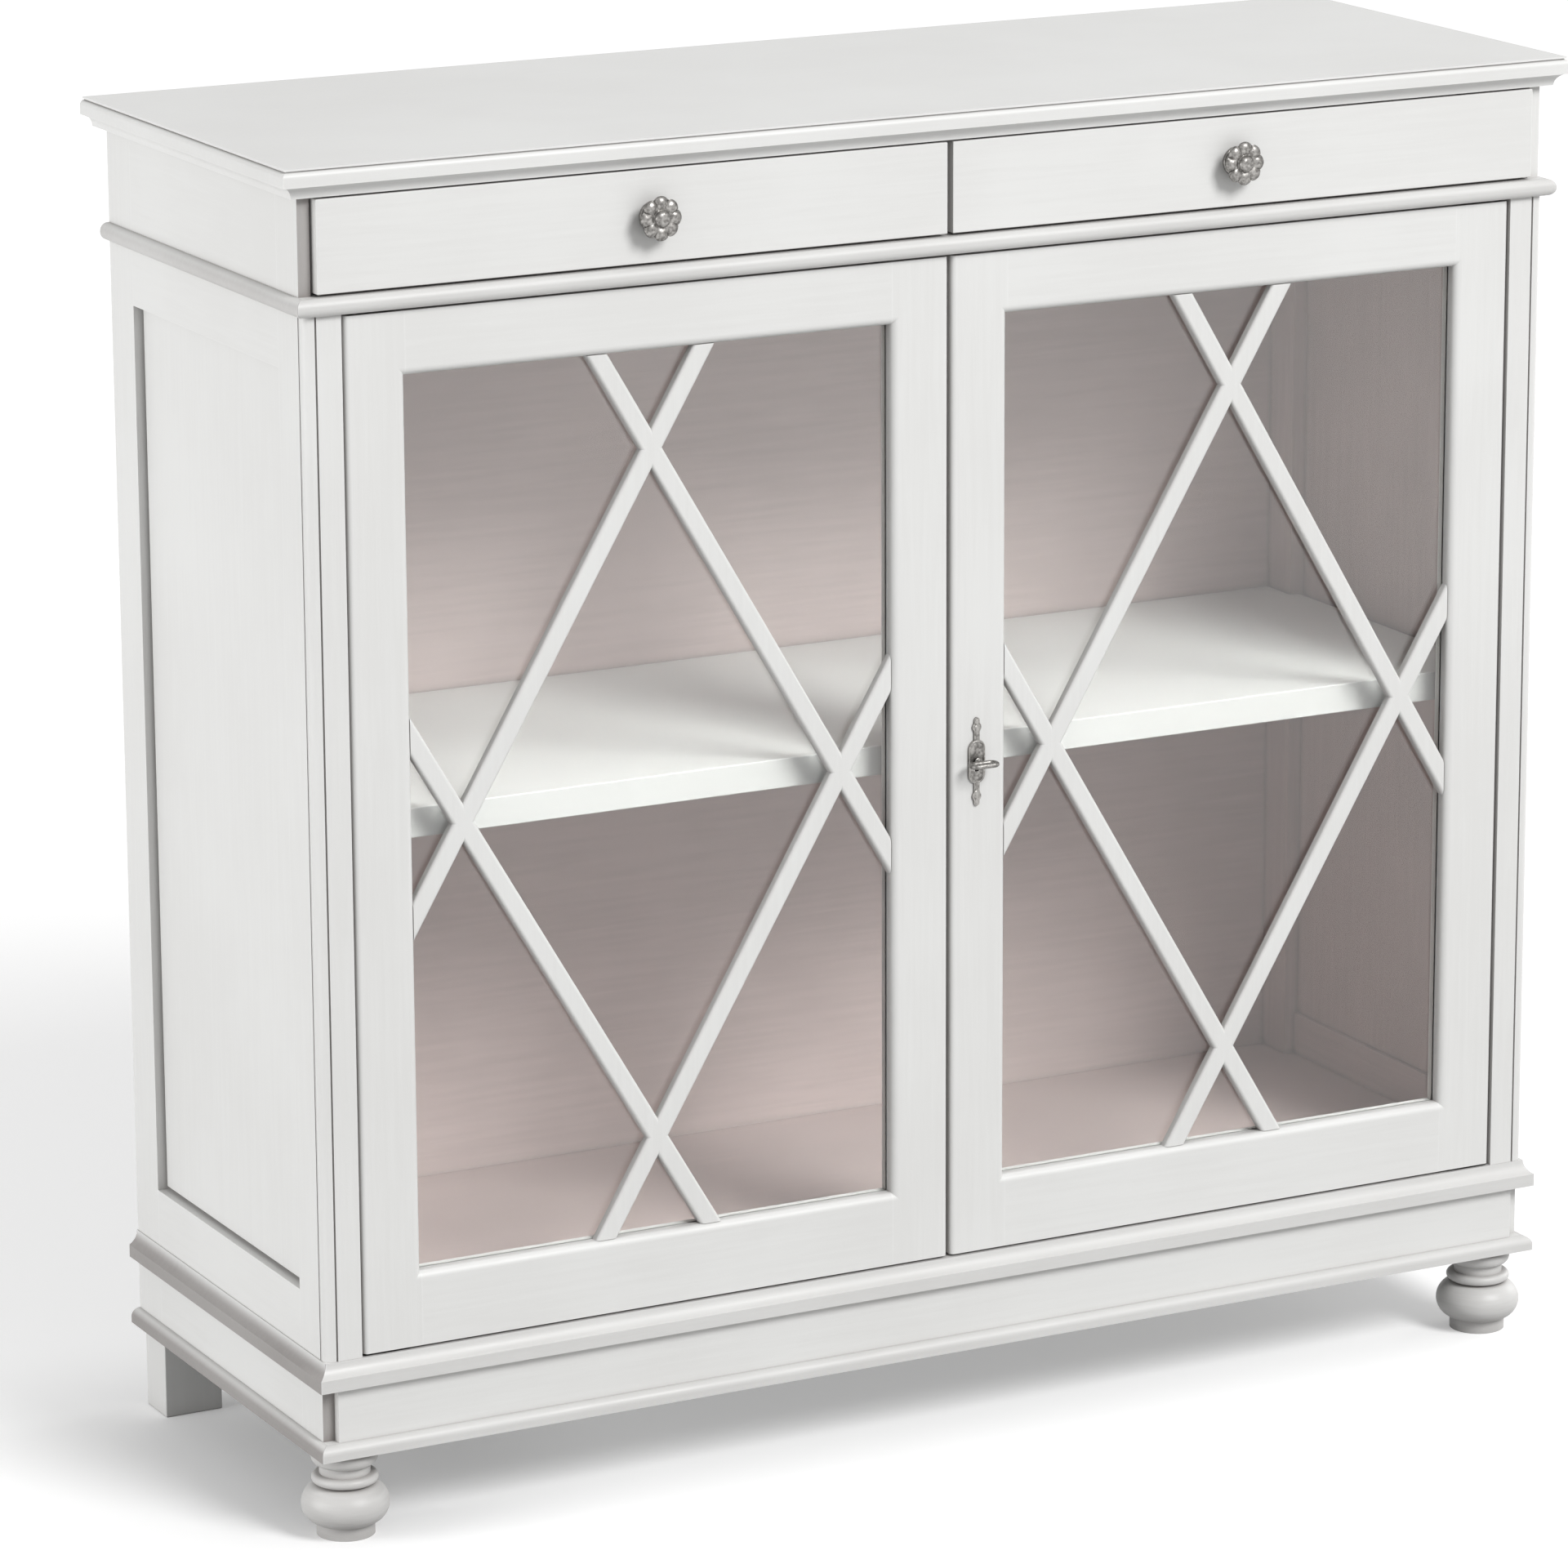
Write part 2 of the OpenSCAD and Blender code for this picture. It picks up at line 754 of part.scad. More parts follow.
// whole door frame, without joints
module door_blank() {
    difference() {
        block([door_x0, 0, door_z0], [door_x1, door_t, door_z1]);
        translate([0, 0, door_z0 - cut]) linear_extrude(door_z1 - door_z0 + 2 * cut) {
            translate([door_x0, 0]) arris_waste(door_arris_r);
            translate([door_x1, 0]) mirror([1, 0]) arris_waste(door_arris_r);
        }
        sight_opening();
        block([sight_x0 - rebate_w, sight_d, sight_z0 - rebate_w],
            [sight_x1 + rebate_w, door_t + cut, sight_z1 + rebate_w]);
    }
}

module hinge_stile(side) {
    color("snow") handed(side) difference() {
        intersection() {
            door_blank();
            block([sight_x1, -cut, door_z0 - cut], [door_x1 + cut, door_t + cut, door_z1 + cut]);
        }
        head_and_foot() door_pivot_body(pivot_r + pivot_fit + bush_wall);
    }
}

module meeting_stile(side) {
    color("snow") handed(side) difference() {
        intersection() {
            door_blank();
            block([door_x0 - cut, -cut, door_z0 - cut], [sight_x0, door_t + cut, door_z1 + cut]);
        }
        if (side == right) lock_waste();
        if (side == left) strike_waste();
    }
}

module door_rail(side, z0, z1) {
    color("snow") handed(side) intersection() {
        door_blank();
        block([sight_x0, -cut, z0], [sight_x1, door_t + cut, z1]);
    }
}

// cross-section of a lattice bar, its face at y = 0
module bar_section() {
    difference() {
        translate([-bar_w / 2, 0]) square([bar_w, bar_t]);
        for (flip = [0, 1]) mirror([flip, 0])
            translate([bar_w / 2, 0]) mirror([1, 0]) arris_waste(bar_arris_r);
    }
}

// bars run through the lozenge's corners and on to the door frame
module lattice(side) {
    lean = atan(lozenge_a / lozenge_b);
    run = sight_h + sight_w;
    offset_x = lozenge_a / 2;
    offset_z = lozenge_b / 2;
    color("snow") handed(side) intersection() {
        block([sight_x0, bar_setback, sight_z0], [sight_x1, glass_y, sight_z1]);
        translate([(sight_x0 + sight_x1) / 2, bar_setback, (sight_z0 + sight_z1) / 2])
            for (sx = [-1, 1], sz = [-1, 1])
                translate([sx * offset_x, 0, sz * offset_z])
                    rotate([0, -sx * sz * lean, 0]) translate([0, 0, -run / 2])
                        linear_extrude(run) bar_section();
    }
}

module glass(side) {
    color("lightcyan", 0.4) handed(side)
        block([sight_x0 - rebate_w + glass_gap, glass_y, sight_z0 - rebate_w + glass_gap],
            [sight_x1 + rebate_w - glass_gap, bead_y, sight_z1 + rebate_w - glass_gap]);
}

module glazing_beads(side) {
    x0 = sight_x0 - rebate_w;
    x1 = sight_x1 + rebate_w;
    color("snow") handed(side) {
        for (x = [x0, sight_x1])
            block([x, bead_y, sight_z0 - rebate_w], [x + rebate_w, door_t, sight_z1 + rebate_w]);
        for (z = [sight_z0 - rebate_w, sight_z1])
            block([x0 + rebate_w + bead_gap, bead_y, z],
                [x1 - rebate_w - bead_gap, door_t, z + rebate_w]);
    }
}

// ---- lock ----

// path of the bolt through the stile and the lock case
module bolt_path(x0, x1) {
    block([x0, bolt_y - bolt_gap, bolt_z - bolt_gap],
        [x1, bolt_y + bolt_t + bolt_gap, bolt_z + bolt_h + bolt_gap]);
}

module keyhole(y0, y1, room) {
    from_front(y0, y1) translate([key_x, key_z]) {
        circle(shank_r + room);
        translate([-bit_t / 2 - 0.5, -bit_l - 1]) square([bit_t + 1, bit_l + 1]);
    }
}

module lock_waste() {
    block([lock_x, lock_y, lock_z], [lock_x + lock_w, door_t + cut, lock_z + lock_h]);
    bolt_path(door_x0 - cut, lock_x + cut);
    keyhole(-cut, lock_y + cut, keyhole_room);
}

module lock_case() {
    wall = [lock_wall, lock_wall, lock_wall];
    low = [lock_x, lock_y, lock_z];
    high = [lock_x + lock_w, door_t, lock_z + lock_h];
    color("darkkhaki") on_floor() difference() {
        block(low, high);
        block(low + wall, high - wall);
        bolt_path(lock_x - cut, lock_x + lock_wall + cut);
        keyhole(lock_y - cut, lock_y + lock_wall + cut, key_fit);
    }
}

module lock_bolt() {
    color("darkkhaki") on_floor()
        block([bolt_x, bolt_y, bolt_z], [bolt_x + bolt_l, bolt_y + bolt_t, bolt_z + bolt_h]);
}

// strike plate and pocket in the left door, built mirrored like the door
module strike_waste() {
    block([door_x0 - cut, strike_y, bolt_z - strike_margin],
        [door_x0 + strike_t, strike_y + strike_w, bolt_z + bolt_h + strike_margin]);
    bolt_path(door_x0, door_x0 + strike_depth);
}

module strike_plate() {
    color("darkkhaki") handed(left) difference() {
        block([door_x0, strike_y, bolt_z - strike_margin],
            [door_x0 + strike_t, strike_y + strike_w, bolt_z + bolt_h + strike_margin]);
        bolt_path(door_x0 - cut, door_x0 + strike_t + cut);
    }
}

// long rounded outline, with its length along x
module rounded_bar(length, width) {
    square([length - width, width], center = true);
    for (end = [-1, 1]) translate([end * (length - width) / 2, 0]) circle(width / 2);
}

// an upright oval round the keyhole, with a slim tail above and below ending in a small leaf
module escutcheon() {
    tail_w = 5;
    leaf_r = 4;
    color("silver") on_floor() difference() {
        from_front(-escutcheon_t, 0) translate([key_x, key_z]) {
            rotate(90) rounded_bar(escutcheon_oval_h, escutcheon_w);
            square([tail_w, escutcheon_h - 2 * leaf_r], center = true);
            for (end = [-1, 1]) {
                translate([0, end * (escutcheon_h / 2 - 2.4 * leaf_r)]) circle(leaf_r);
                translate([0, end * (escutcheon_h / 2 - leaf_r)]) circle(leaf_r * 0.6);
            }
        }
        keyhole(-escutcheon_t - cut, cut, keyhole_room);
    }
}

// shank, oval bow lying flat, collar and bit
module key() {
    bow_wall = 3.5;
    bow_back_y = -key_reach + bow_l;
    tip_y = bolt_y + bolt_t;
    collar_y = -escutcheon_t - 3;
    color("silver") on_floor() union() {
        translate([key_x, tip_y, key_z]) rotate([90, 0, 0])
            cylinder(h = tip_y - bow_back_y + bow_wall / 2, r = shank_r);
        translate([key_x, collar_y, key_z]) rotate([90, 0, 0]) cylinder(h = 2, r = shank_r + 1.2);
        translate([key_x, bow_back_y - bow_l / 2, key_z - bow_t / 2]) linear_extrude(bow_t) difference() {
            rounded_bar(bow_w, bow_l);
            rounded_bar(bow_w - 2 * bow_wall, bow_l - 2 * bow_wall);
        }
        block([key_x, tip_y - bit_w, key_z - bit_t / 2], [key_x + bit_l, tip_y, key_z + bit_t / 2]);
    }
}

// ---- drawers ----

// groove for the drawer bottom in the front and the sides
module tray_groove_waste() {
    block([box_x0 + box_t - tray_groove, front_t - tray_groove, tray_z],
        [box_x1 - box_t + tray_groove, box_y1 + cut, tray_z + tray_t]);
}

module drawer_front(side) {
    color("snow") handed(side) difference() {
        block([front_x0, 0, front_z0], [front_x1, front_t, front_z1]);
        tray_groove_waste();
        translate([knob_x, front_t + cut, knob_z]) rotate([90, 0, 0])
            cylinder(h = front_t + 2 * cut, r = stud_r + stud_fit);
    }
}

module drawer_sides(side) {
    color("burlywood") handed(side) difference() {
        for (x = [box_x0, box_x1 - box_t])
            block([x, front_t, box_z0], [x + box_t, box_y1, box_z1]);
        tray_groove_waste();
    }
}

module drawer_back(side) {
    color("burlywood") handed(side)
        block([box_x0 + box_t, box_y1 - box_t, tray_z + tray_t], [box_x1 - box_t, box_y1, box_z1]);
}

module drawer_bottom(side) {
    color("burlywood") handed(side)
        block([box_x0 + box_t - tray_groove, front_t - tray_groove, tray_z],
            [box_x1 - box_t + tray_groove, box_y1, tray_z + tray_t]);
}

// half-outline of the knob: rose, neck and flattened head, standing up from the drawer front
module knob_outline() {
    rose_h = 2.5;
    head_r = 5.5;
    square([rose_r, rose_h]);
    translate([0, rose_h]) intersection() {
        square([rose_r, rose_r * 0.4]);
        circle(rose_r * 0.75);
    }
    square([stud_r + 2.5, knob_reach - head_r]);
    translate([0, knob_reach - 2 * head_r]) square([knob_r - head_r, 2 * head_r]);
    translate([knob_r - head_r, knob_reach - head_r]) circle(head_r);
}

module knob(side) {
    color("silver") handed(side) translate([knob_x, 0, knob_z]) rotate([90, 0, 0]) {
        rotate_extrude() knob_outline();
        translate([0, 0, -front_t]) cylinder(h = front_t + 1, r = stud_r);
    }
}

top_board();
front_post(left);  // front_post_left
front_post(right);  // front_post_right
rear_post(left);  // rear_post_left
rear_post(right);  // rear_post_right
side_rail(left, panel_z1, z_under_top);  // side_top_rail_left
side_rail(right, panel_z1, z_under_top);  // side_top_rail_right
side_rail(left, foot_h, panel_z0);  // side_bottom_rail_left
side_rail(right, foot_h, panel_z0);  // side_bottom_rail_right
side_panel(left);  // side_panel_left
side_panel(right);  // side_panel_right
back_panel();
bottom_board();
waist_rail();
drawer_deck();
top_front_rail();
rear_bottom_rail();
drawer_divider();
waist_moulding();
plinth_board();
plinth_cap_moulding();
base_moulding();
bun_foot(left);  // bun_foot_left
bun_foot(right);  // bun_foot_right
rear_leg(left);  // rear_leg_left
rear_leg(right);  // rear_leg_right
shelf();
shelf_pins();
case_pivots();
hinge_stile(left);  // left_hinge_stile
meeting_stile(left);  // left_meeting_stile
door_rail(left, sight_z1, door_z1);  // left_top_rail
door_rail(left, door_z0, sight_z0);  // left_bottom_rail
lattice(left);  // left_lattice
glass(left);  // left_glass
glazing_beads(left);  // left_glazing_beads
door_pivots(left);  // left_pivots
strike_plate();
hinge_stile(right);  // right_hinge_stile
meeting_stile(right);  // right_meeting_stile
door_rail(right, sight_z1, door_z1);  // right_top_rail
door_rail(right, door_z0, sight_z0);  // right_bottom_rail
lattice(right);  // right_lattice
glass(right);  // right_glass
glazing_beads(right);  // right_glazing_beads
door_pivots(right);  // right_pivots
escutcheon();
lock_case();
lock_bolt();
key();
drawer_front(left);  // left_drawer_front
drawer_sides(left);  // left_drawer_sides
drawer_back(left);  // left_drawer_back
drawer_bottom(left);  // left_drawer_bottom
knob(left);  // left_knob
drawer_front(right);  // right_drawer_front
drawer_sides(right);  // right_drawer_sides
drawer_back(right);  // right_drawer_back
drawer_bottom(right);  // right_drawer_bottom
knob(right);  // right_knob
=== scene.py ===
# %% [markdown]
# # A white bookcase with two glazed doors and two drawers
# The CAD model gives every board, moulding and fitting its true size and place. This lesson
# dresses that model: paint, bare wood, metal and glass are built from shader nodes, and the small
# fittings that a hand touches, the knobs and the key, are modelled again with finer detail.
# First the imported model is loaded. Each CAD part arrives as one object whose place is in its mesh.

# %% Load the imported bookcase
import math

import bmesh
import bpy
from mathutils import Matrix, Vector


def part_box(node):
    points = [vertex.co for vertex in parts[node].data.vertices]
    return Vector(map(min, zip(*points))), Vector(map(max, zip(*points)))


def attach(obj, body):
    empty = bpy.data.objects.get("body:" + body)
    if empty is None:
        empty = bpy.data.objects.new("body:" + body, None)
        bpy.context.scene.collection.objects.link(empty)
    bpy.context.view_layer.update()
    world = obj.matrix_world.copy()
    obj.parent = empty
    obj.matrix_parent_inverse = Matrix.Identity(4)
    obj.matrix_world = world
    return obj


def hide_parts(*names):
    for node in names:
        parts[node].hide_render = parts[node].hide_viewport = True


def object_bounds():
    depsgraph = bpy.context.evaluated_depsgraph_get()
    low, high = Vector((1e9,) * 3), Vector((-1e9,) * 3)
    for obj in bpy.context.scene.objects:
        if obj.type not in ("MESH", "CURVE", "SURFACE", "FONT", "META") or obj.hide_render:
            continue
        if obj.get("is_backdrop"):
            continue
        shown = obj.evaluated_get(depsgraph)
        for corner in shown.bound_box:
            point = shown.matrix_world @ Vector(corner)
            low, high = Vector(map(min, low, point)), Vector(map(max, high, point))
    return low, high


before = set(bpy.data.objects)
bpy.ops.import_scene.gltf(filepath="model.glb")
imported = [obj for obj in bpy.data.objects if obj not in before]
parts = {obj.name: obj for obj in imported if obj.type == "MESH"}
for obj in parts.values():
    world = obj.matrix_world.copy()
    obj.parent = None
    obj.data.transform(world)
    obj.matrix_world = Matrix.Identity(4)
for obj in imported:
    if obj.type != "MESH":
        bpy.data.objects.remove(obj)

cad_low, cad_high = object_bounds()
MM = 0.001
print("parts:", len(parts), "size in mm:", [round(1000 * s) for s in cad_high - cad_low])

# %% [markdown]
# ## The camera
# The bookcase is looked at from its left front, a little above its middle, through a long lens,
# which keeps the uprights almost parallel. The camera is placed by its angles and its distance
# from a point in the middle of the case, so that it can be moved round the case by changing one
# number.

# %% Camera
LENS, SENSOR_WIDTH, DISTANCE = 163.26, 36.0, 5.9311
look_at = Vector((0.0002, 0.1018, 0.484))
turn, rise, roll = math.radians(-27.45), math.radians(14.54), math.radians(-0.27)
ahead = Vector((-math.sin(turn) * math.cos(rise), math.cos(turn) * math.cos(rise),
                -math.sin(rise)))
to_right = Vector((math.cos(turn), math.sin(turn), 0))
to_top = to_right.cross(ahead)
camera_x = to_right * math.cos(roll) + to_top * math.sin(roll)
camera_y = to_top * math.cos(roll) - to_right * math.sin(roll)

camera_data = bpy.data.cameras.new("camera")
camera_data.sensor_width = SENSOR_WIDTH
camera_data.sensor_fit = "HORIZONTAL"
camera_data.lens = LENS
camera = bpy.data.objects.new("camera", camera_data)
camera.matrix_world = Matrix((camera_x, camera_y, -ahead)).transposed().to_4x4()
camera.matrix_world.translation = look_at - ahead * DISTANCE
bpy.context.scene.collection.objects.link(camera)
bpy.context.scene.camera = camera
print("camera at", [round(c, 3) for c in camera.matrix_world.translation])

# %% [markdown]
# ## Small tools for shader nodes
# A finish is a tree of nodes. Writing each node and link in full would hide the idea, so small
# helpers do the wiring. The first adds a node and fills its sockets. The others use it for what
# comes again and again: two colours mixed, a sum, a range stretched, a range tested, the place of
# a point on the piece, a noise, and a relief on the surface.

# %% Helpers for shader trees
def add_node(tree, kind, feeds=None, **settings):
    """Adds a shader node, and fills its sockets from values or from other nodes' outputs."""
    node = tree.nodes.new("ShaderNode" + kind)
    for name, value in settings.items():
        setattr(node, name, value)
    for name, value in (feeds or {}).items():
        if isinstance(value, bpy.types.NodeSocket):
            tree.links.new(value, node.inputs[name])
        else:
            node.inputs[name].default_value = value
    return node


def mix_colours(tree, share, first, second):
    """The first colour where share is 0, the second where it is 1."""
    feeds = {0: share, 6: first, 7: second}
    return add_node(tree, "Mix", feeds, data_type="RGBA").outputs[2]


def sums(tree, operation, first, second=0.0, clamp=False):
    """One operation on two values, or on one."""
    feeds = {0: first, 1: second}
    return add_node(tree, "Math", feeds, operation=operation, use_clamp=clamp).outputs[0]


def remap(tree, value, low, high, new_low=0.0, new_high=1.0):
    """Stretches low..high to new_low..new_high with soft ends."""
    feeds = {"Value": value, "From Min": low, "From Max": high,
             "To Min": new_low, "To Max": new_high}
    return add_node(tree, "MapRange", feeds, interpolation_type="SMOOTHSTEP").outputs[0]


def between(tree, value, low, high):
    """1 where the value lies from low to high, 0 elsewhere."""
    feeds = {0: value, 1: (low + high) / 2, 2: (high - low) / 2}
    return add_node(tree, "Math", feeds, operation="COMPARE").outputs[0]


def place_on_piece(tree):
    """Where a point lies on its piece at rest, so that patterns move with the piece."""
    return add_node(tree, "TexCoord").outputs["Object"]


def stretched(tree, place, stretch):
    """A place multiplied by its own number along X, Y and Z."""
    return add_node(tree, "VectorMath", {0: place, 1: stretch}, operation="MULTIPLY").outputs[0]


def noise(tree, place, scale, **more):
    """A noise over the piece. It mostly lies from 0.3 to 0.7, so remap stretches that range."""
    feeds = {"Vector": place, "Scale": scale, **more}
    return add_node(tree, "TexNoise", feeds).outputs["Fac"]


def add_relief(tree, shader, height, strength, distance):
    """Makes the surface look raised by height without changing the mesh."""
    feeds = {"Height": height, "Strength": strength, "Distance": distance}
    bump = add_node(tree, "Bump", feeds)
    tree.links.new(bump.outputs["Normal"], shader.inputs["Normal"])


print("shader helpers ready")

# %% [markdown]
# ## Groups and materials
# A node group is a box of nodes with named inputs and outputs. It is built once, and several
# finishes place it with their own values. A material starts with one Principled shader.

# %% Helpers for groups and materials
def new_group(name, inputs, outputs):
    """An empty node group. Inputs are names and start values, outputs names and socket kinds."""
    group = bpy.data.node_groups.new(name, "ShaderNodeTree")
    for title, value in inputs.items():
        kind = "NodeSocketFloat" if isinstance(value, float) else "NodeSocketVector"
        socket = group.interface.new_socket(title, in_out="INPUT", socket_type=kind)
        socket.default_value = value
    for title, kind in outputs.items():
        group.interface.new_socket(title, in_out="OUTPUT", socket_type="NodeSocket" + kind)
    return group, group.nodes.new("NodeGroupInput"), group.nodes.new("NodeGroupOutput")


def place_group(tree, group, **values):
    """Puts a group into a finish with this finish's values. In a name, _ stands for a space."""
    node = tree.nodes.new("ShaderNodeGroup")
    node.node_tree = group
    for name, value in values.items():
        socket = node.inputs[name.replace("_", " ")]
        if isinstance(value, bpy.types.NodeSocket):
            tree.links.new(value, socket)
        else:
            socket.default_value = value
    return node


def new_finish(name):
    """A material with its Principled shader, and that shader's tree."""
    material = bpy.data.materials.new(name)
    material.use_nodes = True
    return material, material.node_tree, material.node_tree.nodes["Principled BSDF"]


print("group helpers ready")

# %% [markdown]
# ## Painted shade in corners
# This group paints shade into the colour of quirks, gaps and the inner corners of mouldings,
# where less light gets in. The Ambient Occlusion node measures how shut in a point is. With a
# short reach it finds only the narrow places. A slow noise breaks the painted shade up into
# patches. On the metals the same group marks the dark patina in their hollows.

# %% Group: corner shade
corner_shade, given, result = new_group(
    "corner_shade", {"Reach": 0.008, "Patchiness": 0.25}, {"Shade": "Float"})
OPEN, SHUT = 0.85, 0.25
# painted shade on lacquer and wood, patina on the metals: darker where the AO node finds a shut-in
# place
shut_in = add_node(corner_shade, "AmbientOcclusion", {"Distance": given.outputs["Reach"]},
                   samples=8)
deep = remap(corner_shade, shut_in.outputs["AO"], OPEN, SHUT)
patches = noise(corner_shade, place_on_piece(corner_shade), 22.0, Detail=3.0)
shade_gaps = sums(corner_shade, "MULTIPLY", patches, given.outputs["Patchiness"])
kept = sums(corner_shade, "SUBTRACT", 1.0, shade_gaps)
shade = sums(corner_shade, "MULTIPLY", deep, kept, clamp=True)
corner_shade.links.new(shade, result.inputs["Shade"])
print("group:", corner_shade.name)

# %% [markdown]
# ## Edges that hands and cloths rub
# Paint is thinner on an outer edge, and years of wiping polish it. Ambient Occlusion looking
# inwards finds such edges: just under an outer edge, a ray soon meets the other face.

# %% Group: rubbed edge
rubbed_edge, given, result = new_group(
    "rubbed_edge", {"Width": 0.0012, "Unevenness": 0.6}, {"Rub": "Float"})
FLAT, SHARP = 0.95, 0.45
near_edge = add_node(rubbed_edge, "AmbientOcclusion", {"Distance": given.outputs["Width"]},
                     samples=6, inside=True)
edge = remap(rubbed_edge, near_edge.outputs["AO"], FLAT, SHARP)
chance = noise(rubbed_edge, place_on_piece(rubbed_edge), 60.0, Detail=4.0)
uneven = sums(rubbed_edge, "MULTIPLY", remap(rubbed_edge, chance, 0.35, 0.65),
              given.outputs["Unevenness"])
kept = sums(rubbed_edge, "SUBTRACT", 1.0, uneven)
rub = sums(rubbed_edge, "MULTIPLY", edge, kept, clamp=True)
rubbed_edge.links.new(rub, result.inputs["Rub"])
print("group:", rubbed_edge.name)

# %% [markdown]
# ## Marks of the brush
# Lacquer is laid along the length of each board. It dries in faint long ridges over the grain,
# with a finer orange-peel between them. Noise that is squeezed across the board and stretched
# along it draws such ridges. Stretch is how many ridges there are in a metre along X, Y and Z.
# The tone comes from slow clouds and a part of the ridges.

# %% Group: brush marks
brush_marks, given, result = new_group(
    "brush_marks", {"Stretch": (200.0, 200.0, 10.0)}, {"Tone": "Float", "Height": "Float"})
PEEL_SHARE, CLOUD_SHARE, RIDGE_SHARE = 0.35, 0.6, 0.4
place = place_on_piece(brush_marks)
along = stretched(brush_marks, place, given.outputs["Stretch"])
ridges = noise(brush_marks, along, 1.0, Detail=5.0, Roughness=0.6, Distortion=0.3)
peel = noise(brush_marks, place, 520.0, Detail=2.0)
clouds = noise(brush_marks, place, 5.0, Detail=3.0)
fine = sums(brush_marks, "MULTIPLY", peel, PEEL_SHARE)
brush_marks.links.new(sums(brush_marks, "ADD", ridges, fine), result.inputs["Height"])
slow = sums(brush_marks, "MULTIPLY", clouds, CLOUD_SHARE)
quick = sums(brush_marks, "MULTIPLY", ridges, RIDGE_SHARE)
brush_marks.links.new(sums(brush_marks, "ADD", slow, quick), result.inputs["Tone"])
print("group:", brush_marks.name)

# %% [markdown]
# ## Inside or outside?
# The book space is painted a matt warm grey and the outside is white. A post or a side panel is
# one piece of wood with both colours on it, so its finish asks where each point lies: this group
# gives 1 in the book space and 0 elsewhere. Its limits are the faces of the parts that wall the
# space in, moved by a skin of 0.3 mm so that each face falls clearly on one side.

# %% Group: book space
panel_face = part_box("side_panel_left")[1].x
back_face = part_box("back_panel")[0].y
door_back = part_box("left_hinge_stile")[1].y
board_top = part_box("bottom_board")[1].z
deck_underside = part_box("drawer_deck")[0].z
SKIN = 0.3 * MM
limits = {"X": (panel_face - SKIN, -panel_face + SKIN),
          "Y": (door_back + SKIN, back_face + SKIN),
          "Z": (board_top - SKIN, deck_underside + SKIN)}

book_space, given, result = new_group("book_space", {}, {"Inside": "Float"})
split = add_node(book_space, "SeparateXYZ", {0: place_on_piece(book_space)})
inside = 1.0
for axis, (low, high) in limits.items():
    within = between(book_space, split.outputs[axis], low, high)
    inside = sums(book_space, "MULTIPLY", within, inside)
book_space.links.new(inside, result.inputs["Inside"])
print("book space:", {axis: [round(v, 4) for v in pair] for axis, pair in limits.items()})

# %% [markdown]
# ## Painted shade on the mouldings and the left corner strip
# A grey is mixed into the lacquer as painted shade; flat boards get none of it. A little dims
# the mouldings' fronts, more darkens their lengths that run back along the sides, and some darkens
# the narrow strip that is set back beside the left corner. One group serves the mouldings and one
# the strip.
# A side length lies beyond the post's outer face and behind the mitre that starts at the post's
# front corner. Its painted shade begins softly at its upper edge and is full from four tenths of
# its height down.

# %% Group: moulding painted shade
post_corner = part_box("front_post_left")[0]
MITRE_SLACK = 0.1 * MM
SHADE_BEGINS, SHADE_FULL = -0.1, 0.4

moulding_shade, given, result = new_group(
    "moulding_shade", {"Top": 1.0, "Height": 0.02, "Front Film": 0.2}, {"Painted Shade": "Float"})
split = add_node(moulding_shade, "SeparateXYZ", {0: place_on_piece(moulding_shade)})
from_middle = sums(moulding_shade, "ABSOLUTE", split.outputs["X"])
beyond_post = sums(moulding_shade, "SUBTRACT", from_middle, -post_corner.x)
before_post = sums(moulding_shade, "SUBTRACT", post_corner.y, split.outputs["Y"])
before_post = sums(moulding_shade, "MAXIMUM", before_post, 0.0)
past_mitre = sums(moulding_shade, "SUBTRACT", beyond_post, before_post)
on_side = sums(moulding_shade, "GREATER_THAN", past_mitre, MITRE_SLACK)
depth = sums(moulding_shade, "SUBTRACT", given.outputs["Top"], split.outputs["Z"])
depth = sums(moulding_shade, "DIVIDE", depth, given.outputs["Height"])
low_down = remap(moulding_shade, depth, SHADE_BEGINS, SHADE_FULL)
side_shade_mask = sums(moulding_shade, "MULTIPLY", on_side, low_down)
shade_mask = sums(moulding_shade, "MAXIMUM", side_shade_mask, given.outputs["Front Film"])
moulding_shade.links.new(shade_mask, result.inputs["Painted Shade"])
print("group:", moulding_shade.name)

# %% Group: corner strip
# painted shade for the set-back strip beside the left front corner only
STRIP_WIDTH, STRIP_DEPTH = 10 * MM, 8 * MM
strip_face = post_corner.y + STRIP_DEPTH

corner_strip, given, result = new_group("corner_strip", {}, {"Painted Shade": "Float"})
split = add_node(corner_strip, "SeparateXYZ", {0: place_on_piece(corner_strip)})
within = between(corner_strip, split.outputs["X"],
                 post_corner.x - SKIN, post_corner.x + STRIP_WIDTH + SKIN)
on_strip = between(corner_strip, split.outputs["Y"], strip_face - SKIN, strip_face + SKIN)
shade_mask = sums(corner_strip, "MULTIPLY", within, on_strip)
corner_strip.links.new(shade_mask, result.inputs["Painted Shade"])
print("group:", corner_strip.name)
